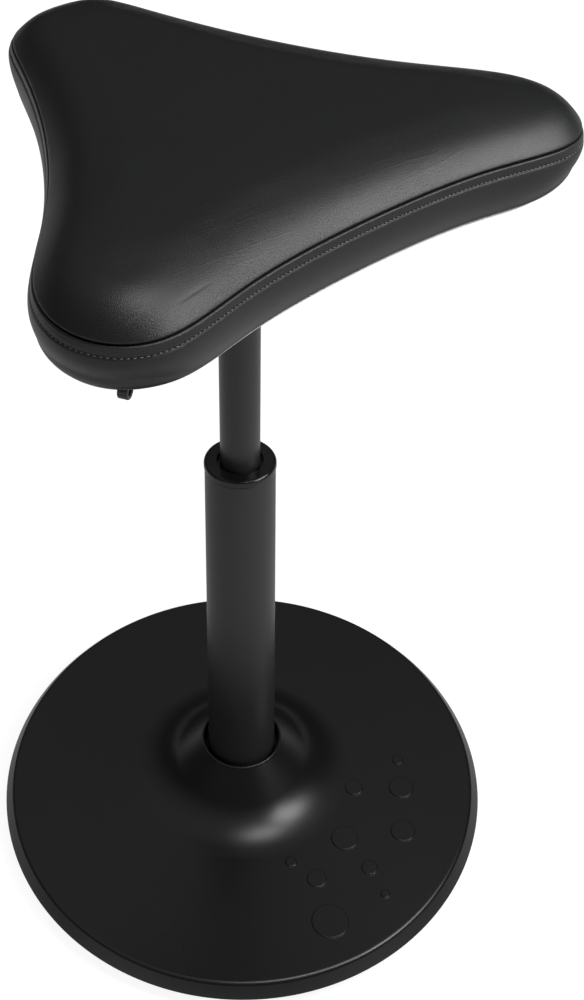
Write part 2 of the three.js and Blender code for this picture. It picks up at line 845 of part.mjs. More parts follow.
function channel() {
  const floor = seatHeight - channelDepth;
  const length = cheekFront + cheekBack;
  const middleY = (cheekBack - cheekFront) / 2;
  const web = new THREE.BoxGeometry(cheekSpacing + 2 * bracketThickness, length, bracketThickness);
  const bore = cylinderRadius + gap;
  let made = solid(web.translate(0, middleY, floor + bracketThickness / 2));
  for (const side of [-1, 1]) {
    const cheek = new THREE.BoxGeometry(bracketThickness, length, 2 * channelDepth);
    const x = (side * (cheekSpacing + bracketThickness)) / 2;
    made = made.add(solid(cheek.translate(x, middleY, floor + channelDepth)));
  }
  made = made
    .add(disc(bore + sleeveWall, sleeveBottom, sleeveTop, tubeFacets))
    .subtract(disc(bore, sleeveBottom - overrun, sleeveTop + overrun, tubeFacets))
    .subtract(acrossPin(pivotPinRadius + gap, cheekSpacing + 4 * bracketThickness));
  return made.rotate([0, 0, leverTurn]);
}

// A round bar along X on the lever's pivot, with the lever still pointing to -Y
function acrossPin(radius, length, x = 0) {
  const bar = new THREE.CylinderGeometry(radius, radius, length, smallFacets);
  return solid(bar.rotateZ(Math.PI / 2).translate(x, -pivotReach, pivotHeight));
}

function leverPin() {
  const span = cheekSpacing + 2 * bracketThickness;
  const headX = (span + pivotPinHeadLength) / 2 + gap;
  const shaft = acrossPin(pivotPinRadius, span + 2 * gap + pivotPinHeadLength);
  return shaft
    .add(acrossPin(pivotPinHead, pivotPinHeadLength, headX))
    .add(acrossPin(pivotPinHead, pivotPinHeadLength, -headX));
}

// The lever's strip: out from the hub, down under the lobe, and rolled into a curl at its end
const leverEnd = new THREE.Vector3(0, -leverReach, pivotHeight - leverDrop);

class LeverLine extends THREE.Curve {
  constructor() {
    super();
    this.sweep = new THREE.CubicBezierCurve3(
      new THREE.Vector3(0, -pivotReach - leverHub / 2, pivotHeight),
      new THREE.Vector3(0, -pivotReach - leverReach / 4, pivotHeight - leverDrop / 2),
      new THREE.Vector3(0, leverEnd.y + leverReach / 4, leverEnd.z),
      leverEnd,
    );
    this.sweepShare = this.sweep.getLength() / (this.sweep.getLength() + curlRadius * curlTurn);
  }

  getPoint(t, target = new THREE.Vector3()) {
    if (t <= this.sweepShare) return this.sweep.getPointAt(t / this.sweepShare, target);
    const turn = (curlTurn * (t - this.sweepShare)) / (1 - this.sweepShare);
    return target.set(
      0,
      leverEnd.y - curlRadius * Math.sin(turn),
      leverEnd.z - curlRadius * (1 - Math.cos(turn)),
    );
  }
}

function leverStrip() {
  const section = new THREE.Shape();
  section.moveTo(-stripWidth / 2, -stripThickness / 2);
  section.lineTo(stripWidth / 2, -stripThickness / 2);
  section.lineTo(stripWidth / 2, stripThickness / 2);
  section.lineTo(-stripWidth / 2, stripThickness / 2);
  section.closePath();
  const along = { steps: 28, extrudePath: new LeverLine(), bevelEnabled: false };
  return solid(new THREE.ExtrudeGeometry(section, along));
}

function releaseLever() {
  const armLength = leverArmReach + pivotReach;
  const armBottom = cylinderTop + valvePinRise + leverArmGap;
  const arm = new THREE.BoxGeometry(stripWidth, armLength, leverArmThickness);
  arm.translate(0, armLength / 2 - pivotReach, armBottom + leverArmThickness / 2);
  return acrossPin(leverHub, leverHubWidth)
    .add(solid(arm))
    .add(leverStrip())
    .subtract(acrossPin(pivotPinRadius + runningGap, leverHubWidth + overrun));
}

// Base
place("base_cover", baseCover(), "cover");
place("rubber_sole", sole(), "sole");
place("ballast_plate", ballastPlate(), "iron");
around(bossCount, bossCircle, Math.PI / 4).forEach((spot, i) => {
  place("cover_screw_" + (i + 1), screw(spot, plateBottom, 1, coverScrew), "brightSteel");
});
place("hub_socket", hubSocket(), "iron");
around(socketScrewCount, socketScrewCircle).forEach((spot, i) => {
  const face = plateTop + gap + socketFlangeThickness + gap + socketScrewHeadHeight;
  place("socket_screw_" + (i + 1), screw(spot, face, -1, socketScrew), "brightSteel");
});

// Gas spring
place("column_tube", columnTube(), "coatedSteel");
place("guide_collar", guideCollar(), "glossPlastic");
place("bearing_lower_washer", washer(bearingFloor), "brightSteel");
place("bearing_ball_cage", ballCage(), "brass");
place("bearing_upper_washer", washer(upperWasherFloor), "brightSteel");
place("rubber_buffer", rubberBuffer(), "rubber");
place("piston_rod", pistonRod(), "brightSteel");
place("rod_clip", rodClip(), "brightSteel");
place("piston", piston(), "glossPlastic");
place("pressure_cylinder", pressureCylinder(), "coatedSteel");
place("rod_guide", rodGuide(), "glossPlastic");
place("valve_body", valveBody(), "brass");
place("valve_pin", valvePin(), "brightSteel");

// Bracket and lever
place("seat_bracket", seatBracket(), "coatedSteel");
const leverFrame = new THREE.Group();
leverFrame.rotation.z = THREE.MathUtils.degToRad(leverTurn);
stool.add(leverFrame);
place("lever_pin", leverPin(), "brightSteel", leverFrame);
place("release_lever", releaseLever(), "coatedSteel", leverFrame);

// Seat
const seat = new THREE.Group();
seat.position.z = seatHeight;
seat.rotation.x = seatSlope;
stool.add(seat);
place("seat_board", seatBoard(), "plywood", seat);
place("underside_liner", undersideLiner(), "liner", seat);
screwPlaces.forEach((spot, i) => {
  const face = bracketBottom - gap - seatScrewHeadHeight;
  place("seat_screw_" + (i + 1), screw(spot, face, 1, seatScrew), "brightSteel", seat);
  place("tee_nut_" + (i + 1), teeNut(spot), "brightSteel", seat);
});
place("cushion_foam", cushionFoam(), "foam", seat);
place("side_panel", sidePanel(), "leather", seat);
place("top_panel", topPanel(), "leather", seat);

export default stool;
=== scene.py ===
import math

import bmesh
import bpy
from mathutils import Matrix, Vector
from mathutils.geometry import delaunay_2d_cdt
from mathutils.kdtree import KDTree


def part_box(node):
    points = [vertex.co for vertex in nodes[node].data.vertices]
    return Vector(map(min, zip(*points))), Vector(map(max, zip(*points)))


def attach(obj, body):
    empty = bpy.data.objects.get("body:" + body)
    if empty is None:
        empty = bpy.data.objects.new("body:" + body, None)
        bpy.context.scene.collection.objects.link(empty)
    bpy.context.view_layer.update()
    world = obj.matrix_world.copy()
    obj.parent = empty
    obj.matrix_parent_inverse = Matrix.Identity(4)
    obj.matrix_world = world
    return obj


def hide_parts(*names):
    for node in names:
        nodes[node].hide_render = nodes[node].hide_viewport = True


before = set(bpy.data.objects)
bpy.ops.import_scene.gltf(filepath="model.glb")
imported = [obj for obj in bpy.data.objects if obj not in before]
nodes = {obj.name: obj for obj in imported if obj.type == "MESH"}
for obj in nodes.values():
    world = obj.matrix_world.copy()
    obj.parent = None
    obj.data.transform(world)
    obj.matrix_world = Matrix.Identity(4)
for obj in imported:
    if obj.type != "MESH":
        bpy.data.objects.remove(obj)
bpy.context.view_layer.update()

# Camera: a portrait view from above the sitter's right knee, with its axis below the middle of the seat,
# so that the seat is seen from a low angle and the base from a steep one.
camera_place = Vector((-0.4774, -0.5592, 0.9694))
camera_heading = math.radians(-39.95)
camera_pitch = math.radians(33.47)
camera_roll = math.radians(-0.58)
lens = bpy.data.cameras.new("camera")
lens.sensor_fit = "VERTICAL"
lens.sensor_height = 36
lens.lens = 49.39
lens.shift_x = 0.0634
lens.shift_y = -0.2
camera = bpy.data.objects.new("camera", lens)
bpy.context.collection.objects.link(camera)
camera.matrix_world = (
    Matrix.Translation(camera_place)
    @ Matrix.Rotation(camera_heading, 4, "Z")
    @ Matrix.Rotation(math.pi / 2 - camera_pitch, 4, "X")
    @ Matrix.Rotation(camera_roll, 4, "Z")
)
bpy.context.scene.camera = camera
bpy.context.scene.view_settings.view_transform = "Standard"


# Studio: a wide floor and a room that the camera sees as white. Three softboxes rise in an arc above the
# sitter's left knee. The room is dark but for a pale horizon behind the camera and a dim panel overhead.
def node(tree, kind, inputs=None, **settings):
    """Adds a shader node. An input is a value, or a socket that is linked to it."""
    made = tree.nodes.new(kind)
    for name, value in settings.items():
        setattr(made, name, value)
    for key, value in (inputs or {}).items():
        if isinstance(value, bpy.types.NodeSocket):
            tree.links.new(value, made.inputs[key])
        else:
            made.inputs[key].default_value = value
    return made


def math_of(tree, operation, first, second, third=None):
    """Adds a maths node and returns its result."""
    inputs = {0: first, 1: second}
    if third is not None:
        inputs[2] = third
    return node(tree, "ShaderNodeMath", inputs, operation=operation).outputs[0]


def ranged(tree, value, low, high, to_low, to_high, blend="LINEAR"):
    """Carries a value from one range to another, held at the ends."""
    inputs = {"Value": value, "From Min": low, "From Max": high, "To Min": to_low, "To Max": to_high}
    return node(tree, "ShaderNodeMapRange", inputs, interpolation_type=blend).outputs[0]


def cosine(tree, direction, side):
    """How far a direction leans towards a side, as a cosine."""
    inputs = {0: direction, 1: side}
    return node(tree, "ShaderNodeVectorMath", inputs, operation="DOT_PRODUCT").outputs["Value"]


def finish_of(name, colour, roughness, metallic=0.0):
    """Starts a finish: a material whose shader has its plain values on its own sockets."""
    finish = bpy.data.materials.new(name)
    finish.use_nodes = True
    shader = finish.node_tree.nodes["Principled BSDF"]
    shader.inputs["Base Color"].default_value = (*colour, 1)
    shader.inputs["Roughness"].default_value = roughness
    shader.inputs["Metallic"].default_value = metallic
    return finish, shader


floor_reach = 8.0
floor_colour = (0.38, 0.38, 0.38)
glow_start = 0.3
glow_reach = 2.2
glow_near = 0.90
glow_far = 1.0
gloss_start = 1.2
gloss_reach = 4.0
gloss_near = 0.36
gloss_far = 0.60
bm = bmesh.new()
bmesh.ops.create_grid(bm, x_segments=1, y_segments=1, size=floor_reach)
floor_mesh = bpy.data.meshes.new("floor")
bm.to_mesh(floor_mesh)
bm.free()
floor = bpy.data.objects.new("floor", floor_mesh)
bpy.context.collection.objects.link(floor)
floor_finish, shader = finish_of("white_floor", floor_colour, 1.0)
shader.inputs["Specular IOR Level"].default_value = 0.0
shader.inputs["Emission Color"].default_value = (1, 1, 1, 1)
tree = floor_finish.node_tree
rays = node(tree, "ShaderNodeLightPath")
place = node(tree, "ShaderNodeTexCoord")
away = node(tree, "ShaderNodeVectorMath", {0: place.outputs["Object"]}, operation="LENGTH").outputs["Value"]
glow = ranged(tree, away, glow_start, glow_reach, glow_near, glow_far, "SMOOTHSTEP")
gloss = ranged(tree, away, gloss_start, gloss_reach, gloss_near, gloss_far, "SMOOTHSTEP")
seen = math_of(tree, "MULTIPLY", rays.outputs["Is Camera Ray"], glow)
mirrored = math_of(tree, "MULTIPLY", rays.outputs["Is Glossy Ray"], gloss)
tree.links.new(math_of(tree, "ADD", seen, mirrored), shader.inputs["Emission Strength"])
floor_mesh.materials.append(floor_finish)

softbox_aim = Vector((0, -0.08, 0.45))
softboxes = [
    ("low_softbox", Vector((0.37, -0.625, 0.93)), 0.52, 0.36, 4.6),
    ("middle_softbox", Vector((0.20, -0.46, 0.95)), 0.42, 0.42, 0.2),
    ("high_softbox", Vector((0.03, -0.31, 1.25)), 0.36, 0.36, 2.5),
]
for name, box_place, width, height, watts in softboxes:
    softbox = bpy.data.lights.new(name, "AREA")
    softbox.shape = "RECTANGLE"
    softbox.size = width
    softbox.size_y = height
    softbox.energy = watts
    lamp = bpy.data.objects.new(name, softbox)
    bpy.context.collection.objects.link(lamp)
    lamp.location = box_place
    lamp.rotation_euler = (softbox_aim - box_place).to_track_quat("-Z", "Y").to_euler()

room_low = 0.05
room_high = 0.30
panel_side = Vector((-0.05, 0.15, 0.98)).normalized()
panel_start = 0.45
panel_full = 0.95
horizon_glow = 1.1
horizon_full = 0.02
horizon_end = 0.25
near_side = Vector((-0.6, -0.8, 0))
near_start = 0.1
near_full = 0.8
room = bpy.data.worlds.new("room")
room.use_nodes = True
tree = room.node_tree
place = node(tree, "ShaderNodeTexCoord").outputs["Generated"]
lean = cosine(tree, place, panel_side)
level = ranged(tree, lean, panel_start, panel_full, room_low, room_high, "SMOOTHSTEP")
rise = node(tree, "ShaderNodeSeparateXYZ", {"Vector": place}).outputs["Z"]
horizon = ranged(tree, rise, horizon_full, horizon_end, horizon_glow, 0.0, "SMOOTHSTEP")
near = ranged(tree, cosine(tree, place, near_side), near_start, near_full, 0.0, 1.0, "SMOOTHSTEP")
level = math_of(tree, "ADD", level, math_of(tree, "MULTIPLY", horizon, near))
level = math_of(tree, "MAXIMUM", level, node(tree, "ShaderNodeLightPath").outputs["Is Camera Ray"])
tree.nodes["Background"].inputs["Color"].default_value = (1, 1, 1, 1)
tree.links.new(level, tree.nodes["Background"].inputs["Strength"])
bpy.context.scene.world = room


# Base cover: one moulded shell of black plastic with a leaning rim, a conical hub with a beaded lip and ten
# low raised dots. Screws hold it from below.
def arc(centre, reach, start, end, steps):
    """Points on an ellipse's arc, in degrees from its first axis towards its second."""
    turns = [math.radians(start + (end - start) * i / steps) for i in range(steps + 1)]
    return [(centre[0] + reach[0] * math.cos(t), centre[1] + reach[1] * math.sin(t)) for t in turns]


def turns_of(steps):
    """The angles of a circle's even steps."""
    return [2 * math.pi * i / steps for i in range(steps)]


def ring(bm, radius, height, steps, middle=(0, 0)):
    """Adds a level circle of vertices."""
    circle = [(middle[0] + radius * math.cos(t), middle[1] + radius * math.sin(t)) for t in turns_of(steps)]
    return [bm.verts.new((x, y, height)) for x, y in circle]


def bridge(bm, low, high):
    """Skins the space between two rings of as many points."""
    for i in range(len(low)):
        n = (i + 1) % len(low)
        bm.faces.new((low[i], low[n], high[n], high[i]))


def loft(bm, loops, capped=False):
    """Skins a row of rings in turn, and may close its two ends."""
    for low, high in zip(loops, loops[1:]):
        bridge(bm, low, high)
    if capped:
        bm.faces.new(loops[0])
        bm.faces.new(loops[-1])


def spin(bm, line, steps, skip=()):
    """Turns a closed line of (radius, height) points round the Z axis, but for skipped stretches."""
    rings = [ring(bm, radius, height, steps) for radius, height in line]
    for i in range(len(rings)):
        if i not in skip:
            bridge(bm, rings[i], rings[(i + 1) % len(rings)])
    return rings


def fill_field(bm, outer, holes, loose):
    """Fills the field inside an outer loop and round its convex holes, over loose points."""
    loops = [outer, *holes]
    corners = [vertex for loop in loops for vertex in loop]
    owners = [number for number, loop in enumerate(loops) for _ in loop]
    edges = []
    for number, loop in enumerate(loops):
        first = owners.index(number)
        edges += [(first + i, first + (i + 1) % len(loop)) for i in range(len(loop))]
    corners += loose
    owners += [None] * len(loose)
    filled = delaunay_2d_cdt([v.co.xy for v in corners], edges, [], 1, 1e-7)
    source = [origins[0] for origins in filled[3]]
    for face in filled[2]:
        at = [source[i] for i in face]
        around = {owners[i] for i in at}
        if len(around) > 1 or around <= {0, None}:
            bm.faces.new([corners[i] for i in at])


def piece(bm, name, finish, crease=40):
    """Makes the mesh an object, smooth but for edges sharper than the crease angle."""
    bmesh.ops.recalc_face_normals(bm, faces=bm.faces)
    mesh = bpy.data.meshes.new(name)
    bm.to_mesh(mesh)
    bm.free()
    mesh.materials.append(finish)
    mesh.shade_smooth()
    mesh.set_sharp_from_angle(angle=math.radians(crease))
    made = bpy.data.objects.new(name, mesh)
    bpy.context.collection.objects.link(made)
    return made


def even_shading(made):
    """Lets large faces rule the shading, so that flats stay flat beside small roundings."""
    weighted = made.modifiers.new("even_shading", "WEIGHTED_NORMAL")
    weighted.keep_sharp = True
    weighted.weight = 100


def stand_for(made, body, slot, *node_names):
    """Makes a piece ride on a body, in place of its CAD nodes, which it hides. The slot is not used."""
    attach(made, body)
    if node_names:
        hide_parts(*node_names)


cover_radius = 0.194
rim_lift = 0.012
rim_height = 0.010
rim_lean = 0.0065
rim_rounding = 0.0040
rim_hem = 0.0007
cover_wall = 0.0025
cover_top = rim_lift + rim_height
foot_radius = 0.090
foot_fillet = 0.054
hub_top = 0.0595
lip_radius = 0.0322
lip_rounding = 0.0011
lip_bead = 0.0006
dot_height = 0.0010
dot_rounding = 0.0006
dot_foot = 0.0003
flat_margin = 0.0010
field_turn = 10
field_rings = 6
dot_shares = [
    (0.522, -0.415, 0.0235),
    (0.431, -0.523, 0.0502),
    (0.282, -0.395, 0.0369),
    (0.083, -0.542, 0.0534),
    (0.286, -0.672, 0.0487),
    (-0.154, -0.480, 0.0219),
    (-0.127, -0.601, 0.0384),
    (0.065, -0.702, 0.0317),
    (0.030, -0.823, 0.0175),
    (-0.212, -0.765, 0.0702),
]
cover_steps = 256
cone_steps = 8
dot_steps = 72
rim_side = math.degrees(math.atan2(rim_lean, rim_height))
rim_edge = cover_radius - rim_lean - rim_rounding * math.tan(math.radians(45 - rim_side / 2))
outside = [(cover_radius - cover_wall, rim_lift)]
outside += arc((cover_radius - rim_hem, rim_lift + rim_hem), (rim_hem, rim_hem), -90, rim_side, 4)
outside += arc((rim_edge, cover_top - rim_rounding), (rim_rounding, rim_rounding), rim_side, 90, 10)
outside += [(rim_edge - flat_margin, cover_top)]
field_edge = len(outside) - 1
cone_foot = hub_top - lip_rounding - lip_bead
run = foot_radius - lip_radius
drop = cover_top + foot_fillet - cone_foot
cone_tilt = math.degrees(math.asin(foot_fillet / math.hypot(run, drop)) - math.atan2(drop, run))
fillet_middle = (foot_radius, cover_top + foot_fillet)
outside += arc(fillet_middle, (-foot_fillet, -foot_fillet), 90 - field_turn, 90 - cone_tilt, 30)
cone_start = Vector(outside[-1])
cone_end = Vector((lip_radius, cone_foot))
outside += [tuple(cone_start.lerp(cone_end, i / cone_steps)) for i in range(1, cone_steps + 1)]
outside += arc((lip_radius - lip_rounding, hub_top - lip_rounding), (lip_rounding, lip_rounding), 0, 180, 12)
inner_fillet = foot_fillet + cover_wall
inside = arc(fillet_middle, (-inner_fillet, -inner_fillet), 90 - cone_tilt, 90, 16)
inner_lip = lip_radius - cover_wall
rise = (inside[0][0] - inner_lip) * math.tan(math.radians(cone_tilt))
inner_rim = (cover_radius - rim_lean - cover_wall, cover_top - cover_wall)
inside = [(inner_lip, inside[0][1] + rise), *inside, inner_rim]


def field_height(x, y):
    """The height of the cover's flat, which turns up into the hub's fillet."""
    across = max(foot_radius - math.hypot(x, y), 0)
    return cover_top + foot_fillet - math.sqrt(foot_fillet**2 - across**2)


bm = bmesh.new()
rings = spin(bm, outside + inside, cover_steps, skip=(field_edge,))
dot_feet = []
for x_share, y_share, radius_share in dot_shares:
    middle = (x_share * cover_radius, y_share * cover_radius)
    radius = radius_share * cover_radius
    top_radius = radius - dot_rounding
    line = [(radius + dot_foot + flat_margin, 0.0)]
    line += arc((radius + dot_foot, dot_foot), (dot_foot,) * 2, -90, -180, 3)
    line += arc((top_radius, dot_height - dot_rounding), (dot_rounding,) * 2, 0, 90, 5)[1:]
    line += [(top_radius - flat_margin / 2, dot_height), (radius / 2, dot_height)]
    loops = [ring(bm, r, z, dot_steps, middle) for r, z in line]
    loops.append([bm.verts.new((*middle, dot_height))])
    for vertex in (v for loop in loops for v in loop):
        vertex.co.z += field_height(vertex.co.x, vertex.co.y)
    loft(bm, loops[:-1])
    for i in range(dot_steps):
        bm.faces.new((loops[-2][i], loops[-2][(i + 1) % dot_steps], loops[-1][0]))
    dot_feet.append(loops[0])
loose = []
for i in range(1, field_rings):
    radius = foot_radius - foot_fillet * math.sin(math.radians(field_turn * i / field_rings))
    for k in range(cover_steps):
        angle = 2 * math.pi * (k + 0.5 * (i % 2)) / cover_steps
        spot = Vector((radius * math.cos(angle), radius * math.sin(angle)))
        gaps = [(spot - Vector((x, y)) * cover_radius).length - r * cover_radius for x, y, r in dot_shares]
        if min(gaps) > dot_foot + 2 * flat_margin:
            loose.append(bm.verts.new((*spot, field_height(*spot))))
fill_field(bm, rings[field_edge], [rings[field_edge + 1], *dot_feet], loose)


def effect(name, inputs):
    """Starts a node group for an effect on a surface, with its named inputs and three results."""
    group = bpy.data.node_groups.new(name, "ShaderNodeTree")
    for label, value in inputs.items():
        kind = "NodeSocketFloat" if isinstance(value, float) else "NodeSocketColor"
        group.interface.new_socket(label, in_out="INPUT", socket_type=kind).default_value = value
    for label, kind in (("Colour", "Color"), ("Roughness", "Float"), ("Height", "Float")):
        group.interface.new_socket(label, in_out="OUTPUT", socket_type="NodeSocket" + kind)
    return group, node(group, "NodeGroupInput").outputs


def conclude(tree, colour, shade, rough, height):
    """Gives an effect its results: a colour times a factor, a roughness and the height for a bump."""
    tinted = node(tree, "ShaderNodeVectorMath", {0: colour, "Scale": shade}, operation="SCALE")
    results = {"Colour": tinted.outputs[0], "Roughness": rough, "Height": height}
    node(tree, "NodeGroupOutput", results)


def noise(tree, place, scale, detail, roughness=0.5):
    """Adds a noise texture and returns its value."""
    inputs = {"Vector": place, "Scale": scale, "Detail": detail, "Roughness": roughness}
    return node(tree, "ShaderNodeTexNoise", inputs).outputs["Fac"]


def bumped(tree, shader, height, depth, strength=1.0):
    """Gives a shader a bump from a height."""
    bump = node(tree, "ShaderNodeBump", {"Strength": strength, "Distance": depth, "Height": height})
    tree.links.new(bump.outputs["Normal"], shader.inputs["Normal"])


def textured(name, colour, roughness, metallic, texture, depth, values):
    """A finish with an effect on its colour, its roughness and its bump."""
    finish, shader = finish_of(name, colour, roughness, metallic)
    tree = finish.node_tree
    inputs = {"Colour": (*colour, 1), "Roughness": roughness, **values}
    made = node(tree, "ShaderNodeGroup", inputs, node_tree=texture)
    tree.links.new(made.outputs["Colour"], shader.inputs["Base Color"])
    tree.links.new(made.outputs["Roughness"], shader.inputs["Roughness"])
    bumped(tree, shader, made.outputs["Height"], depth)
    return finish


inputs = {"Colour": (0.02, 0.02, 0.02, 1), "Roughness": 0.4}
inputs |= {"Grain Scale": 2200.0, "Patch Scale": 14.0, "Patchiness": 0.035}
fine_grain, given = effect("fine_grain", inputs)
tree = fine_grain
place = node(tree, "ShaderNodeTexCoord").outputs["Object"]
grain = noise(tree, place, given["Grain Scale"], 2.0, 0.6)
patches = noise(tree, place, given["Patch Scale"], 4.0, 0.55)
lift = ranged(tree, patches, 0.3, 0.7, -1.0, 1.0)
rough = math_of(tree, "MULTIPLY_ADD", lift, given["Patchiness"], given["Roughness"])
speckle = ranged(tree, grain, 0.3, 0.7, 0.8, 1.2)
conclude(tree, given["Colour"], speckle, rough, grain)


def grained(name, colour, roughness, metallic=0.0, depth=0.00003, grain=1800.0, patch=12.0, patchiness=0.035):
    """A finish with the fine grain, at its own scale and with its own depth of bump."""
    values = {"Grain Scale": grain, "Patch Scale": patch, "Patchiness": patchiness}
    return textured(name, colour, roughness, metallic, fine_grain, depth, values)


cover_gloss = 0.65
cover_colour = (0.0032, 0.0033, 0.0034)
cover_finish = grained("moulded_cover", cover_colour, 0.30, depth=0.00002, grain=1600.0, patch=9.0)
cover_finish.node_tree.nodes["Principled BSDF"].inputs["Specular IOR Level"].default_value = cover_gloss
cover = piece(bm, "moulded_cover", cover_finish)
even_shading(cover)
stand_for(cover, "base", "cover", "base_cover")

# Sole: a moulded rubber pad glued under the ballast plate. Its flat middle stands on the floor and its curved
# border lets the stool sway. Fine round ribs give it grip.
sole_flat = 0.070
sole_inset = 0.002
sole_edge = 0.003
glue_gap = 0.0003
sole_rim_top = rim_lift - glue_gap
plate_radius = 0.172
plate_gap = 0.001
sole_top = 0.0089
sole_hem = 0.0008
rib_pitch = 0.004
rib_depth = 0.0004
sole_steps = 128
sole_reach = cover_radius - sole_inset
sole_run = sole_reach - sole_flat
sole_rise = sole_rim_top - sole_edge
sway_radius = (sole_run**2 + sole_rise**2) / (2 * sole_rise)


def sole_height(radius):
    """The height of the sole's underside, flat in the middle and curved outside it."""
    across = max(radius - sole_flat, 0)
    return sway_radius - math.sqrt(sway_radius**2 - across**2)


underside = [(sole_flat / 2, 0.0), (sole_flat, 0.0)]
radius = sole_flat + rib_pitch
while radius < sole_reach - rib_pitch:
    for share, depth in ((0.0, 0.0), (0.1, rib_depth), (0.35, rib_depth), (0.45, 0.0)):
        edge = radius + rib_pitch * share
        underside.append((edge, sole_height(edge) + depth))
    radius += rib_pitch
underside += [(sole_reach - sole_hem, sole_height(sole_reach - sole_hem))]
underside += [(sole_reach, sole_height(sole_reach) + sole_hem)]
recess = plate_radius + plate_gap
topside = [(sole_reach, sole_rim_top), (recess, sole_rim_top), (recess, sole_top), (sole_flat / 2, sole_top)]
bm = bmesh.new()
loft(bm, [ring(bm, radius, height, sole_steps) for radius, height in underside + topside], capped=True)
rubber_finish = grained("sole_rubber", (0.013, 0.013, 0.013), 0.8, depth=0.00006, grain=900.0, patch=20.0)
sole = piece(bm, "moulded_sole", rubber_finish, crease=30)
stand_for(sole, "base", "rubber", "rubber_sole")


# Ballast plate and hub socket: grey iron castings, machined where they meet. The plate gives the stool its
# weight and the socket, screwed to it, holds the column's foot.
def refinish(finish, *node_names):
    """Gives CAD nodes that show as they are a finish of their own."""
    for node_name in node_names:
        nodes[node_name].material_slots[0].material = finish


iron_finish = grained("cast_iron", (0.055, 0.055, 0.057), 0.55, 0.7, depth=0.00025, grain=420.0, patch=30.0)
refinish(iron_finish, "ballast_plate", "hub_socket")

# Screws of the base: zinc-plated steel with hexagon sockets. Four go into the cover's bosses and four into
# the casting that holds the column.
zinc_looks = {"metallic": 1.0, "depth": 0.00001, "grain": 2600.0, "patch": 90.0, "patchiness": 0.08}
zinc_finish = grained("zinc_plating", (0.56, 0.57, 0.56), 0.34, **zinc_looks)
refinish(zinc_finish, *[f"{kind}_screw_{i}" for kind in ("cover", "socket") for i in range(1, 5)])

# Column: the gas spring's outer steel tube, satin black from a fine powder coat, slightly wider at its foot,
# pressed into the socket in the base.
column_low, column_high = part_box("column_tube")
column_top_radius = 0.025
column_foot_radius = 0.0269
column_wall = 0.002
column_rounding = 0.0006
foot_face = 0.004
tube_steps = 144
rounded_top = (column_top_radius - column_rounding, column_high.z - column_rounding)
line = [
    (column_foot_radius - foot_face, column_low.z),
    (column_foot_radius, column_low.z),
    *arc(rounded_top, (column_rounding,) * 2, 0, 90, 4),
    (column_top_radius - column_wall, column_high.z),
]
bm = bmesh.new()
spin(bm, line, tube_steps)
coat_finish = grained("satin_coat", (0.0290, 0.0297, 0.0310), 0.34, depth=0.00004)
column = piece(bm, "coated_column", coat_finish)
stand_for(column, "base", "coated_steel", "column_tube")

# Guide collar: the glossy black plastic bush in the tube's top. Its flange has a large rounding, and its
# mouth is wider than the cylinder that slides in it.
collar_low, collar_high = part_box("guide_collar")
collar_radius = 0.0255
collar_gap = 0.0003
collar_foot = column_high.z + collar_gap
collar_rounding = 0.0027
collar_hem = 0.0005
mouth_radius = 0.01615
mouth_depth = 0.0035
mouth_rounding = 0.0005
collar_bore = 0.01435
bush_radius = 0.0227
rounded_top = (collar_radius - collar_rounding, collar_high.z - collar_rounding)
rounded_mouth = (mouth_radius + mouth_rounding, collar_high.z - mouth_rounding)
line = [
    (collar_bore, collar_low.z),
    (bush_radius, collar_low.z),
    (bush_radius, collar_foot),
    *arc((collar_radius - collar_hem, collar_foot + collar_hem), (collar_hem,) * 2, -90, 0, 4),
    *arc(rounded_top, (collar_rounding,) * 2, 0, 90, 10),
    *arc(rounded_mouth, (mouth_rounding,) * 2, 90, 180, 4),
    (mouth_radius, collar_high.z - mouth_depth),
    (collar_bore, collar_high.z - mouth_depth),
]
bm = bmesh.new()
spin(bm, line, tube_steps)
gloss_colour = (0.008, 0.008, 0.0085)
gloss_finish = grained("glossy_plastic", gloss_colour, 0.20, depth=0.000004, grain=700.0, patch=60.0)
collar = piece(bm, "glossy_collar", gloss_finish)
even_shading(collar)
stand_for(collar, "base", "collar", "guide_collar")

# Inside of the gas spring: a thrust bearing with a brass cage on the column's floor, a rubber buffer, and the
# ground steel rod with its clip, piston, guide and valve.
rod_finish = grained("ground_steel", (0.60, 0.60, 0.61), 0.22, 1.0, depth=0.000004, grain=3000.0, patch=50.0)
brass_finish = grained("turned_brass", (0.62, 0.44, 0.18), 0.30, 1.0, depth=0.00001, grain=2400.0, patch=70.0)
refinish(rod_finish, "piston_rod", "valve_pin", "bearing_lower_washer", "bearing_upper_washer")
refinish(zinc_finish, "rod_clip")
refinish(brass_finish, "bearing_ball_cage", "valve_body")
refinish(gloss_finish, "piston", "rod_guide")
refinish(rubber_finish, "rubber_buffer")

# Pressure cylinder: the gas spring's drawn steel tube, coated like the column. Its neck is drawn in a little
# where it sits in the bracket's sleeve.
cylinder_low, cylinder_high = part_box("pressure_cylinder")
cylinder_radius = 0.014
cylinder_wall = 0.002
cylinder_neck = 0.0006
cylinder_edge = 0.0008
neck_length = 0.024
line = [
    (cylinder_radius - cylinder_wall, cylinder_low.z),
    *arc((cylinder_radius - cylinder_edge, cylinder_low.z + cylinder_edge), (cylinder_edge,) * 2, -90, 0, 4),
    (cylinder_radius, cylinder_high.z - neck_length),
    (cylinder_radius - cylinder_neck, cylinder_high.z),
    (cylinder_radius - cylinder_wall, cylinder_high.z),
]
bm = bmesh.new()
spin(bm, line, tube_steps)
cylinder = piece(bm, "coated_cylinder", coat_finish)
stand_for(cylinder, "seat", "coated_steel", "pressure_cylinder")

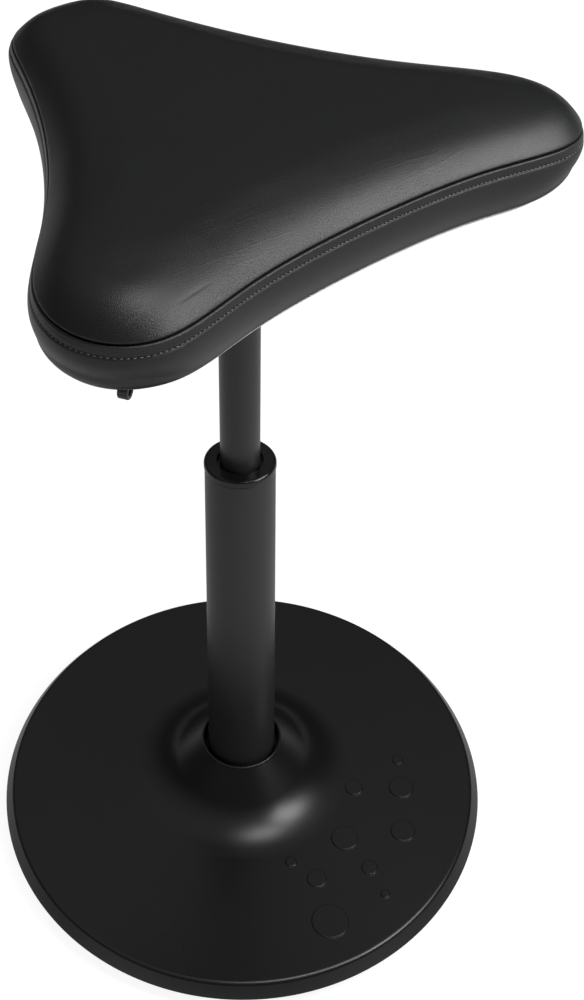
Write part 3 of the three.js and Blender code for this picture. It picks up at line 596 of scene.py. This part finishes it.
# Bracket: a pressed steel plate with a folded channel and a welded sleeve for the cylinder, coated black.
# Its edges are broken by deburring. Four zinc-plated screws and tee nuts hold it to the board.
bracket_edge = 0.0005
bracket_crease = 35
bm = bmesh.new()
bm.from_mesh(nodes["seat_bracket"].data)
bmesh.ops.remove_doubles(bm, verts=bm.verts, dist=0.00001)
bmesh.ops.dissolve_limit(bm, angle_limit=math.radians(1), verts=bm.verts, edges=bm.edges)
paired = [e for e in bm.edges if len(e.link_faces) == 2]
sharp = [e for e in paired if e.calc_face_angle() > math.radians(bracket_crease)]
shape = {"segments": 2, "profile": 0.5, "affect": "EDGES", "clamp_overlap": True}
bmesh.ops.bevel(bm, geom=sharp, offset=bracket_edge, **shape)
bracket = piece(bm, "pressed_bracket", coat_finish, crease=bracket_crease)
stand_for(bracket, "seat", "coated_steel", "seat_bracket")
refinish(zinc_finish, *[f"{kind}_{i}" for kind in ("seat_screw", "tee_nut") for i in range(1, 5)])

# Lever pin: a turned steel pin, zinc-plated, which carries the lever across the bracket's channel. Its two
# flat heads keep it in the channel's sides.
lever_turn = math.radians(-60)
pivot_reach = 0.026
pivot_rise = 0.0013
pivot_height = cylinder_high.z + pivot_rise
pin_radius = 0.0025
pin_head = 0.004
pin_head_length = 0.0015
pin_span = 0.0546
pin_edge = 0.0004
pin_steps = 32
lever_frame = Matrix.Rotation(lever_turn, 4, "Z")
pivot_place = Matrix.Translation((0, -pivot_reach, pivot_height))
pivot_frame = lever_frame @ pivot_place @ Matrix.Rotation(math.pi / 2, 4, "Y")
half_pin = pin_span / 2
head_end = half_pin + pin_head_length
half_line = [
    (pin_radius, half_pin),
    (pin_head - pin_edge, half_pin),
    (pin_head, half_pin + pin_edge),
    *arc((pin_head - pin_edge, head_end - pin_edge), (pin_edge,) * 2, 0, 90, 3),
    (pin_head / 2, head_end),
]
line = [(r, -z) for r, z in reversed(half_line)] + half_line
bm = bmesh.new()
loft(bm, [ring(bm, radius, height, pin_steps) for radius, height in line], capped=True)
bmesh.ops.transform(bm, matrix=pivot_frame, verts=bm.verts)
pin = piece(bm, "turned_lever_pin", zinc_finish, crease=30)
stand_for(pin, "seat", "bright_steel", "lever_pin")

# Release lever: a tube on the pin with a short arm over the spring's valve and a long strip of steel, coated
# black, which runs out under the lobe and is rolled into an eye at its end.
lever_hub = 0.0055
lever_hub_width = 0.014
hub_play = 0.00035
hub_bore = pin_radius + hub_play
hub_edge = 0.0006
strip_width = 0.006
strip_thickness = 0.0022
strip_edge = 0.0006
lever_reach = 0.178
lever_drop = 0.014
curl_radius = 0.0034
curl_turn = math.radians(265)
arm_reach = 0.029
arm_thickness = 0.0025
arm_rise = 0.004
arm_bottom = cylinder_high.z + arm_rise
strip_steps = 60
curl_steps = 36


def bezier(corners, share):
    """A point on a cubic curve with four corners."""
    a, b, c, d = corners
    rest = 1 - share
    return rest**3 * a + 3 * rest**2 * share * b + 3 * rest * share**2 * c + share**3 * d


def rounded_bar(bm, path, width, thickness, edge):
    """Sweeps a flat bar with rounded edges along a path in the lever's plane, as (y, z) points."""
    half = [arc((width / 2 - edge, thickness / 2 - edge), (edge, edge), 0, 90, 3)]
    half.append([(-x, z) for x, z in reversed(half[0])])
    section = half[0] + half[1] + [(-x, -z) for x, z in half[0]] + [(-x, -z) for x, z in half[1]]
    loops = []
    for i, here in enumerate(path):
        along = (path[min(i + 1, len(path) - 1)] - path[max(i - 1, 0)]).normalized()
        across = Vector((-along.y, along.x))
        spots = [(x, here + across * z) for x, z in section]
        loops.append([bm.verts.new((x, spot.x, spot.y)) for x, spot in spots])
    loft(bm, loops, capped=True)


strip_end = Vector((-lever_reach, pivot_height - lever_drop))
sweep = [
    Vector((-pivot_reach - lever_hub / 2, pivot_height)),
    Vector((-pivot_reach - lever_reach / 4, pivot_height - lever_drop / 2)),
    Vector((strip_end.x + lever_reach / 4, strip_end.y)),
    strip_end,
]
path = [bezier(sweep, i / strip_steps) for i in range(strip_steps + 1)]
for i in range(1, curl_steps + 1):
    turn = curl_turn * i / curl_steps
    path.append(strip_end + curl_radius * Vector((-math.sin(turn), math.cos(turn) - 1)))
bm = bmesh.new()
rounded_bar(bm, path, strip_width, strip_thickness, strip_edge)
arm_height = arm_bottom + arm_thickness / 2
arm = [Vector((-pivot_reach + arm_reach * i / 4, arm_height)) for i in range(5)]
rounded_bar(bm, arm, strip_width, arm_thickness, strip_edge)
bmesh.ops.transform(bm, matrix=lever_frame, verts=bm.verts)
half_hub = lever_hub_width / 2
hub_line = [(hub_bore, -half_hub)]
hub_line += arc((lever_hub - hub_edge, hub_edge - half_hub), (hub_edge,) * 2, -90, 0, 3)
hub_line += [(r, -z) for r, z in reversed(hub_line)]
rings = spin(bm, hub_line, pin_steps)
hub_verts = [vertex for loop in rings for vertex in loop]
bmesh.ops.transform(bm, matrix=pivot_frame, verts=hub_verts)
lever = piece(bm, "rolled_lever", coat_finish, crease=50)
stand_for(lever, "lever", "coated_steel", "release_lever")

# Seat board: birch plywood under the foam, with its plies showing at the edge. The bracket is screwed to it
# from below, into tee nuts.
seat_height = 0.5682
seat_slope = math.radians(5.64)
seat_frame = Matrix.Translation((0, 0, seat_height)) @ Matrix.Rotation(seat_slope, 4, "X")
ply_pitch = 0.00143
ply_dark = (0.20, 0.11, 0.05, 1)
ply_light = (0.46, 0.31, 0.17, 1)
plywood_finish, shader = finish_of("birch_plywood", ply_light[:3], 0.6)
tree = plywood_finish.node_tree
place = node(tree, "ShaderNodeTexCoord").outputs["Object"]
level = node(tree, "ShaderNodeMapping", {"Vector": place, "Rotation": (-seat_slope, 0, 0)}).outputs[0]
inputs = {"Vector": level, "Scale": 1 / ply_pitch / (2 * math.pi), "Distortion": 0.4, "Detail": 2.0}
plies = node(tree, "ShaderNodeTexWave", inputs, bands_direction="Z").outputs["Fac"]
stretched = node(tree, "ShaderNodeMapping", {"Vector": place, "Scale": (12, 260, 260)}).outputs[0]
fibres = noise(tree, stretched, 1.0, 4.0)
mixed = math_of(tree, "MULTIPLY_ADD", fibres, 0.5, math_of(tree, "MULTIPLY", plies, 0.5))
inputs = {0: mixed, 6: ply_dark, 7: ply_light}
tone = node(tree, "ShaderNodeMix", inputs, data_type="RGBA").outputs[2]
tree.links.new(tone, shader.inputs["Base Color"])
bumped(tree, shader, fibres, 0.0001, 0.6)
refinish(plywood_finish, "seat_board")

# Foam: the moulded cushion on the board, under the leather. Its outline is the seat's soft trefoil, and it
# gets thinner towards the rear.
seat_reach = 0.2005
outline_shares = [
    (0.0, 1.013),
    (0.204, 0.973),
    (0.276, 0.754),
    (0.427, 0.387),
    (0.672, 0.005),
    (0.948, -0.251),
    (0.971, -0.506),
    (0.791, -0.661),
    (0.471, -0.558),
    (0.0, -0.536),
]
mirrored = [(-x, y) for x, y in reversed(outline_shares[1:-1])]
controls = [Vector((x, y)) * seat_reach for x, y in outline_shares + mirrored]
waist_rounding = 0.003
lobe_rounding = 0.014
lobe_radius = 0.036
pad_side = 0.0341
pad_taper_share = 0.0232
pad_bulge = 0.003
board_top = 0.0118
edge_width = 0.031
crown_rise = 0.0175
crown_power = 2.2
columns = 360
rounding_passes = 40


def outline_at(way):
    """The outline's point, outward normal and bend at a share of the way round from the rear lobe."""
    first = math.floor(way * len(controls))
    t = way * len(controls) - first
    near = [controls[(first + k - 1) % len(controls)] for k in range(4)]
    weights = [
        [(1 - t) ** 3, 3 * t**3 - 6 * t**2 + 4, 1 + 3 * t + 3 * t**2 - 3 * t**3, t**3],
        [-((1 - t) ** 2), 3 * t**2 - 4 * t, 1 + 2 * t - 3 * t**2, t**2],
        [1 - t, 3 * t - 2, 1 - 3 * t, t],
    ]
    point, speed, change = [sum((c * w for c, w in zip(near, row)), Vector((0, 0))) for row in weights]
    speed /= 2
    bend = (speed.y * change.x - speed.x * change.y) / speed.length**3
    return point / 6, Vector((-speed.y, speed.x)).normalized(), bend


def held(value, low=0.0, high=1.0):
    """A value held between two limits."""
    return min(max(value, low), high)


def eased(value):
    """A share with soft ends, from a value that is held between nothing and one."""
    share = held(value)
    return share * share * (3 - 2 * share)


def tuck_rounding(bend):
    """The rounding of the pad's lower edge: the leather is drawn in further round the lobes."""
    return waist_rounding + (lobe_rounding - waist_rounding) * eased(bend * lobe_radius)


def wedge(x, y, z):
    """A point of the pad in the stool's frame, with the pad's taper towards the rear."""
    above = held((z - board_top) / (pad_side - board_top))
    return seat_frame @ Vector((x, y, z - pad_taper_share * y * above))


rim = [outline_at(i / columns) for i in range(columns)]
roundings = [tuck_rounding(bend) for _, _, bend in rim]
for _ in range(rounding_passes):
    sums = [roundings[i - 1] + 2 * roundings[i] + roundings[(i + 1) % columns] for i in range(columns)]
    roundings = [total / 4 for total in sums]
border = [outline_at(i / columns / 4) for i in range(4 * columns)]
outline = KDTree(len(border))
for i, (point, _, _) in enumerate(border):
    outline.insert((*point, 0), i)
outline.balance()


def crown_at(inset):
    """The top's height above the seam: steep at the edge, then nearly flat to the middle."""
    return crown_rise * (1 - (1 - held(inset / edge_width)) ** crown_power)


def crown(x, y):
    """The top's height above the seam at a place."""
    return crown_at(outline.find((x, y, 0))[2])


def pad_ring(bm, out, z, step=1):
    """A ring of vertices round the pad. How far out it lies, and its height, may depend on the rounding."""
    made = []
    for (point, normal, _), rounding in list(zip(rim, roundings))[::step]:
        here = point + normal * (out(rounding) if callable(out) else out)
        made.append(bm.verts.new(wedge(here.x, here.y, z(rounding) if callable(z) else z)))
    return made


def fill_middle(bm, last, inset, height, spacing):
    """Fills inside a ring of the pad with an even field of points, with a height for each place."""
    loose = []
    count = math.ceil(seat_reach / spacing)
    for j in range(-2 * count, 2 * count):
        for i in range(-count, count + 1):
            spot = Vector(((i + 0.5 * (j % 2)) * spacing, j * spacing * math.sqrt(0.75)))
            _, number, gap = outline.find((*spot, 0))
            point, normal, _ = border[number]
            if (spot - point).dot(normal) < 0 and gap > inset + spacing / 2:
                loose.append(bm.verts.new(wedge(*spot, height(*spot))))
    fill_field(bm, last, [], loose)


foam_inset = 0.0022
foam_seam = 0.0065
foam_gap = 0.0004
foam_foot = board_top + foam_gap
foam_step = 3
foam_insets = (0.009, 0.013, 0.018, 0.024)
pad_spacing = 0.012
bm = bmesh.new()
floor_ring = pad_ring(bm, lambda r: -foam_inset - max(r - foam_foot, 0), foam_foot, foam_step)
middle_ring = pad_ring(bm, pad_bulge - foam_inset, (foam_foot + pad_side) / 2, foam_step)
seam_ring = pad_ring(bm, -foam_seam, pad_side, foam_step)
foam_rings = [floor_ring, middle_ring, seam_ring]
for inset in foam_insets:
    foam_rings.append(pad_ring(bm, -inset, pad_side + crown_at(inset) - foam_inset, foam_step))
loft(bm, foam_rings)
foam_top = pad_side - foam_inset
fill_middle(bm, foam_rings[-1], foam_insets[-1], lambda x, y: foam_top + crown(x, y), pad_spacing)
fill_middle(bm, floor_ring, foam_inset + lobe_rounding, lambda x, y: foam_foot, pad_spacing)
foam_finish = grained("moulded_foam", (0.24, 0.25, 0.23), 0.9, depth=0.0004, grain=900.0, patch=25.0)
foam = piece(bm, "foam_cushion", foam_finish, crease=70)
stand_for(foam, "seat", "foam", "cushion_foam")

# Side panel: the strip of grained black synthetic leather round the pad. Its upper edge is turned over at the
# seam, a row of stitches holds the allowance down, and it is pulled round the board and stapled below.
seam_drop = 0.0029
seam_depth = 0.0045
seam_roll = 0.0012
roll_out = -0.0002
stitch_drop = 0.0068
stitch_dip = 0.0006
dip_width = 0.0010
tuck_width = 0.024
tuck_inner = 0.017
leather_thickness = 0.0015
inner_share = 0.6
side_steps = 22


def side_out(z, rounding):
    """How far the side's face stands out from the outline at a height."""
    drop = pad_side - z
    dip = stitch_dip * math.exp(-(((drop - stitch_drop) / dip_width) ** 2))
    return pad_bulge * math.sin(math.pi * drop / (pad_side - rounding)) - dip


def side_line(rounding):
    """The panel's section from inside the seam to its hem and back, as (out, height) points."""
    top = pad_side - seam_drop
    line = [(-seam_depth, top), (-seam_depth, top + seam_roll)]
    line += arc((roll_out, top), (seam_roll, seam_roll), 90, 10, 8)
    shares = [i / side_steps for i in range(1, side_steps + 1)]
    fine = [stitch_drop - seam_drop + dip_width * k / 3 for k in range(-5, 6)]
    drops = sorted([s * (top - rounding) for s in shares] + fine)
    line += [(side_out(top - drop, rounding), top - drop) for drop in drops]
    line += arc((-rounding, rounding), (rounding, -rounding), 0, 90, 10)[1:]
    line += [(-tuck_inner, 0.0), (-tuck_width, 0.0)]
    line += [(-tuck_width, leather_thickness), (-tuck_inner, leather_thickness)]
    inner = rounding - leather_thickness
    line += arc((-rounding, rounding), (inner, -inner), 90, 0, 5)
    line += [(-leather_thickness, pad_side * inner_share), (-leather_thickness, top - 2 * seam_roll)]
    return line


inputs = {"Colour": (0.02, 0.02, 0.02, 1), "Roughness": 0.45, "Pebble Scale": 900.0, "Crease Depth": 0.0}
leather_grain_painted_shade, given = effect("leather_grain_painted_shade", inputs)
tree = leather_grain_painted_shade
place = node(tree, "ShaderNodeTexCoord").outputs["Object"]
warp = node(tree, "ShaderNodeTexNoise", {"Vector": place, "Scale": 400.0, "Detail": 2.0}).outputs["Color"]
inputs = {"Factor": 0.0007, 4: place, 5: warp}
shifted = node(tree, "ShaderNodeMix", inputs, data_type="VECTOR").outputs[1]
inputs = {"Vector": shifted, "Scale": given["Pebble Scale"], "Smoothness": 0.4}
pebbles = node(tree, "ShaderNodeTexVoronoi", inputs, feature="SMOOTH_F1").outputs["Distance"]
fine = noise(tree, place, 2600.0, 2.0)
height = math_of(tree, "MULTIPLY_ADD", pebbles, -0.8, fine)
inputs = {"Vector": place, "Rotation": (0, 0, math.radians(-8)), "Scale": (7.0, 70.0, 1.0)}
drawn = node(tree, "ShaderNodeMapping", inputs).outputs[0]
streaks = noise(tree, drawn, 1.0, 3.0)
fold = math_of(tree, "ABSOLUTE", math_of(tree, "SUBTRACT", streaks, 0.5), 0.0)
fold = ranged(tree, fold, 0.0, 0.03, 1.0, 0.0, "SMOOTHSTEP")
where = noise(tree, place, 16.0, 2.0)
fold = math_of(tree, "MULTIPLY", fold, ranged(tree, where, 0.48, 0.62, 0.0, 1.0, "SMOOTHSTEP"))
height = math_of(tree, "MULTIPLY_ADD", fold, given["Crease Depth"], height)
patches = noise(tree, place, 11.0, 5.0, 0.6)
lift = ranged(tree, patches, 0.3, 0.7, -0.04, 0.04)
rough = math_of(tree, "ADD", given["Roughness"], lift)
# Painted shade: the colour is lighter on the pebbles' tops and darker in the valleys between them.
shade = ranged(tree, pebbles, 0.1, 0.7, 1.12, 0.7)
conclude(tree, given["Colour"], shade, rough, height)


leather_colour = (0.0100, 0.0104, 0.0107)
leather_roughness = 0.36
pebble_scale = 1500.0
pebble_depth = 0.00011


def leather(name, crease_depth):
    """Grained synthetic leather with painted shade in the grain's valleys, and drawn creases of a depth."""
    values = {"Pebble Scale": pebble_scale, "Crease Depth": crease_depth}
    return textured(name, leather_colour, leather_roughness, 0.0, leather_grain_painted_shade, pebble_depth, values)


side_leather = leather("side_leather", 0.0)
sections = [side_line(rounding) for rounding in roundings]
bm = bmesh.new()
rings = []
for level in range(len(sections[0])):
    made = []
    for (point, normal, _), section in zip(rim, sections):
        out, z = section[level]
        here = point + normal * out
        made.append(bm.verts.new(wedge(here.x, here.y, z)))
    rings.append(made)
loft(bm, rings + rings[:1])
side = piece(bm, "boxing_panel", side_leather, crease=70)
stand_for(side, "seat", "leather", "side_panel")

# Top panel: one piece of the same leather over the crowned foam, sewn to the side panel along its edge. It
# swells a little between its seams, and it has short creases beside the seam of the lobe with the lever.
lip_inset = 0.00085
lip_roll = 0.00075
edge_insets = [0.0008, 0.0015, 0.0024, 0.0034, 0.0046, 0.0058, 0.0070, 0.0082, 0.0094, 0.0106]
edge_insets += [0.0122, 0.0145, 0.0175, 0.0212, 0.0255]
crown_lift = 0.0003
crown_start = pad_side + crown_lift
top_spacing = 0.006
bm = bmesh.new()
lip_line = arc((-lip_inset, pad_side), (lip_roll, lip_roll), -85, 40, 7)
rings = [pad_ring(bm, -seam_depth, pad_side - lip_roll)]
rings += [pad_ring(bm, out, z) for out, z in lip_line]
rings += [pad_ring(bm, -inset, crown_start + crown_at(inset)) for inset in edge_insets]
loft(bm, rings)
fill_middle(bm, rings[-1], edge_insets[-1], lambda x, y: crown_start + crown(x, y), top_spacing)
top_leather = leather("top_leather", 0.4)
top = piece(bm, "crowned_top", top_leather, crease=70)

into_pad = seat_frame.inverted()
pad_up = seat_frame.to_3x3() @ Vector((0, 0, 1))
swell_voxel = 0.005
swell_pressure = 4.0
swell_most = 0.0025
swell_frames = 20
swell_fade = 0.014
swell_margin = 0.002
swell_near = 6


def settle(made):
    """Makes what a piece's modifiers give it its own mesh."""
    mesh = bpy.data.meshes.new_from_object(made.evaluated_get(bpy.context.evaluated_depsgraph_get()))
    made.modifiers.clear()
    made.data = mesh


def swell(skin):
    """Lets a closed copy of the pad swell as cloth, and gives the skin the copy's rise, held to a cap."""
    bm = bmesh.new()
    bm.from_mesh(skin.data)
    bmesh.ops.holes_fill(bm, edges=[e for e in bm.edges if e.is_boundary])
    bulk = piece(bm, "swelling_copy", top_leather)
    remesh = bulk.modifiers.new("even_faces", "REMESH")
    remesh.mode = "VOXEL"
    remesh.voxel_size = swell_voxel
    settle(bulk)
    start = [v.co.copy() for v in bulk.data.vertices]
    local = [into_pad @ place for place in start]
    sewn = [i for i, p in enumerate(local) if p.z + pad_taper_share * p.y < pad_side + swell_margin]
    bulk.vertex_groups.new(name="held").add(sewn, 1.0, "REPLACE")
    cloth = bulk.modifiers.new("swell", "CLOTH")
    cloth.settings.vertex_group_mass = "held"
    cloth.settings.use_pressure = True
    cloth.settings.uniform_pressure_force = swell_pressure
    cloth.settings.effector_weights.gravity = 0
    cloth.point_cache.frame_start = 1
    cloth.point_cache.frame_end = swell_frames
    scene = bpy.context.scene
    for frame_number in range(1, swell_frames + 1):
        scene.frame_set(frame_number)
    settled = bulk.evaluated_get(bpy.context.evaluated_depsgraph_get()).to_mesh()
    tree = KDTree(len(start))
    rises = []
    for i, (before, vertex) in enumerate(zip(start, settled.vertices)):
        tree.insert(before, i)
        rises.append(held((vertex.co - before).dot(pad_up), 0.0, swell_most))
    tree.balance()
    scene.frame_set(1)
    bpy.data.objects.remove(bulk)
    for vertex in skin.data.vertices:
        p = into_pad @ vertex.co
        fade = eased(outline.find((p.x, p.y, 0))[2] / swell_fade)
        near = tree.find_n(vertex.co, swell_near)
        weights = [1 / (distance + swell_voxel / 2) for _, _, distance in near]
        rise = sum(rises[i] * w for (_, i, _), w in zip(near, weights)) / sum(weights)
        vertex.co += pad_up * rise * fade


crease_width = 0.00045
crease_edge = -0.105
crease_end_share = 0.02
creases = [
    (0.00034, [(-0.1417, -0.1157), (-0.1340, -0.1146), (-0.1251, -0.1130), (-0.1177, -0.1118)]),
    (0.00024, [(-0.1623, -0.1113), (-0.1585, -0.1108), (-0.1550, -0.1112)]),
    (0.00022, [(-0.1701, -0.1122), (-0.1664, -0.1115), (-0.1626, -0.1117)]),
    (0.00020, [(-0.1512, -0.1161), (-0.1483, -0.1163)]),
]
swell(top)
finer = top.modifiers.new("finer", "SUBSURF")
finer.levels = 1
finer.render_levels = 1
finer.boundary_smooth = "PRESERVE_CORNERS"
settle(top)
for vertex in top.data.vertices:
    p = into_pad @ vertex.co
    spot = Vector((p.x, p.y))
    if max(spot) > crease_edge:
        continue
    for depth, line in creases:
        walked = 0.0
        best = (1.0, 0.0)
        for a, b in zip(line, line[1:]):
            a, b = Vector(a), Vector(b)
            share = held((spot - a).dot(b - a) / (b - a).length_squared)
            gap = (spot - a.lerp(b, share)).length
            best = min(best, (gap, walked + share * (b - a).length))
            walked += (b - a).length
        share = held(best[1] / walked, crease_end_share, 1 - crease_end_share)
        fade = math.sqrt(math.sin(math.pi * share))
        vertex.co -= pad_up * depth * fade * math.exp(-((best[0] / crease_width) ** 2))
stand_for(top, "seat", "leather", "top_panel")

# Topstitching: dark thread in lockstitches on the side panel, sunk into the leather at each needle hole.
# Its grey colour is the thread's dark tone with a painted sheen, and a black disc between stitches is
# painted shade. The seam above it is closed with a darker thread that shows only as specks in the groove.
stitch_pitch = 0.0031
stitch_length = 0.0016
thread_width = 0.00055
thread_lift = 0.00035
thread_sink = 0.0001
dash_end_share = 0.12
hole_radius = 0.0006
hole_shade_lift = 0.00008
hole_sides = 8
walk = [0.0]
walk_steps = 1440
spots = [outline_at(i / walk_steps)[0] for i in range(walk_steps + 1)]
for a, b in zip(spots, spots[1:]):
    walk.append(walk[-1] + (b - a).length)


def pad_place(length, out, z):
    """A place on the pad after a length of the outline, and the direction outwards there."""
    length %= walk[-1]
    low, high = 0, walk_steps
    while high - low > 1:
        half = (low + high) // 2
        low, high = (half, high) if walk[half] <= length else (low, half)
    way = (low + (length - walk[low]) / (walk[high] - walk[low])) / walk_steps
    point, normal, _ = outline_at(way % 1.0)
    rounding = roundings[round(way * columns) % columns]
    here = point + normal * (out(rounding) if callable(out) else out)
    outward = seat_frame.to_3x3() @ Vector((normal.x, normal.y, 0))
    return wedge(here.x, here.y, z), outward


def pad_frame(length, ahead, out, z):
    """A place on the pad with its directions outwards, along and aside, from a look a little way ahead."""
    here, outward = pad_place(length, out, z)
    along = (pad_place(length + ahead, out, z)[0] - here).normalized()
    return here, outward, along, along.cross(outward).normalized()


def dashes(bm, out, z, pitch, length, width, lift, sink, sides=6, steps=6):
    """Lays short rounded dashes along the outline, a pitch apart, with their ends sunk."""
    count = round(walk[-1] / pitch)
    for number in range(count):
        middle = walk[-1] * number / count
        loops = []
        for k in range(steps + 1):
            share = 2 * k / steps - 1
            here, outward, _, aside = pad_frame(middle + share * length / 2, length / 20, out, z)
            here += outward * (lift * (1 - share**2) - sink)
            radius = width / 2 * math.sqrt(max(1 - share**4, dash_end_share))
            around = [aside * math.cos(t) + outward * math.sin(t) for t in turns_of(sides)]
            loops.append([bm.verts.new(here + radius * way) for way in around])
        loft(bm, loops, capped=True)


stitch_z = pad_side - stitch_drop
bm = bmesh.new()
sizes = (stitch_pitch, stitch_length, thread_width, thread_lift, thread_sink)
dashes(bm, lambda r: side_out(stitch_z, r), stitch_z, *sizes)
spun = {"depth": 0.0001, "grain": 2600.0, "patch": 200.0}
# Painted sheen: the thread's colour is lifted from its own dark tone to grey.
thread_finish = grained("thread_with_painted_sheen", (0.16, 0.165, 0.165), 0.6, **spun)
thread = piece(bm, "topstitching", thread_finish, crease=80)
stand_for(thread, "seat", "leather")


def hole_shade_out(rounding):
    """How far the black disc that paints a needle hole's shade stands out from the outline."""
    return side_out(stitch_z, rounding) + hole_shade_lift


# Needle holes: a flat black disc in each gap between stitches, a little proud of the side, is painted shade
# for the hole.
bm = bmesh.new()
count = round(walk[-1] / stitch_pitch)
for number in range(count):
    middle = walk[-1] * (number + 0.5) / count
    here, outward, along, aside = pad_frame(middle, stitch_pitch / 20, hole_shade_out, stitch_z)
    around = [along * math.cos(t) + aside * math.sin(t) for t in turns_of(hole_sides)]
    edge = [bm.verts.new(here + hole_radius * way) for way in around]
    near = bm.verts.new(here + outward * hole_shade_lift)
    deep = bm.verts.new(here - outward * hole_radius)
    for i in range(hole_sides):
        bm.faces.new((edge[i], edge[(i + 1) % hole_sides], near))
        bm.faces.new((edge[(i + 1) % hole_sides], edge[i], deep))
hole_shade_finish = grained("needle_hole_shade", (0.001, 0.001, 0.001), 0.9, depth=0.00001)
holes = piece(bm, "needle_hole_shades", hole_shade_finish, crease=80)
stand_for(holes, "seat", "leather")

seam_thread_pitch = 0.0016
seam_thread_length = 0.0008
seam_thread_width = 0.0005
seam_thread_inset = 0.0009
seam_thread_lift = 0.0001
bm = bmesh.new()
sizes = (seam_thread_pitch, seam_thread_length, seam_thread_width, seam_thread_lift, 0.0)
dashes(bm, -seam_thread_inset, pad_side - seam_thread_inset, *sizes)
seam_thread_finish = grained("dark_thread", (0.012, 0.012, 0.012), 0.6, **spun)
seam_thread = piece(bm, "seam_thread", seam_thread_finish, crease=80)
stand_for(seam_thread, "seat", "leather")

# Liner: a thin pale grey non-woven sheet with a welded rim that closes the underside over the leather's hem.
# Steel staples hold it round its edge.
liner_top = -0.0003
liner_thickness = 0.0008
liner_rim = 0.0013
liner_rim_width = 0.003
liner_edge = 0.0004
liner_weld = 0.0006
liner_over = 0.001
staple_pitch = 0.026
staple_length = 0.010
staple_wire = 0.0007
staple_inset = 0.006


def liner_out(inset):
    """How far a line of the liner stands out from the outline, which depends on the pad's rounding."""
    return lambda rounding: liner_over - rounding - inset


rim_floor = liner_top - liner_rim
sheet_floor = liner_top - liner_thickness
liner_line = [
    (liner_rim_width * 2, liner_top),
    (liner_edge, liner_top),
    (liner_edge / 4, liner_top - liner_edge / 2),
    (0.0, (liner_top + rim_floor) / 2),
    (liner_edge / 4, rim_floor + liner_edge / 2),
    (liner_edge, rim_floor),
    (liner_rim_width, rim_floor),
    (liner_rim_width + liner_weld, sheet_floor),
    (liner_rim_width * 2, sheet_floor),
]
bm = bmesh.new()
liner_rings = [pad_ring(bm, liner_out(inset), z) for inset, z in liner_line]
loft(bm, liner_rings)
liner_inset = lobe_rounding + liner_rim_width * 2
fill_middle(bm, liner_rings[0], liner_inset, lambda x, y: liner_top, pad_spacing)
fill_middle(bm, liner_rings[-1], liner_inset, lambda x, y: sheet_floor, pad_spacing)
liner_finish = grained("grey_liner", (0.62, 0.63, 0.63), 0.85, depth=0.00015, grain=1100.0, patch=60.0)
liner = piece(bm, "stapled_liner", liner_finish, crease=50)
stand_for(liner, "seat", "liner", "underside_liner")

staple_z = sheet_floor - staple_wire / 4
bm = bmesh.new()
dashes(bm, liner_out(staple_inset), staple_z, staple_pitch, staple_length, staple_wire, 0.0, 0.0, steps=8)
staples = piece(bm, "liner_staples", zinc_finish, crease=80)
stand_for(staples, "seat", "bright_steel")
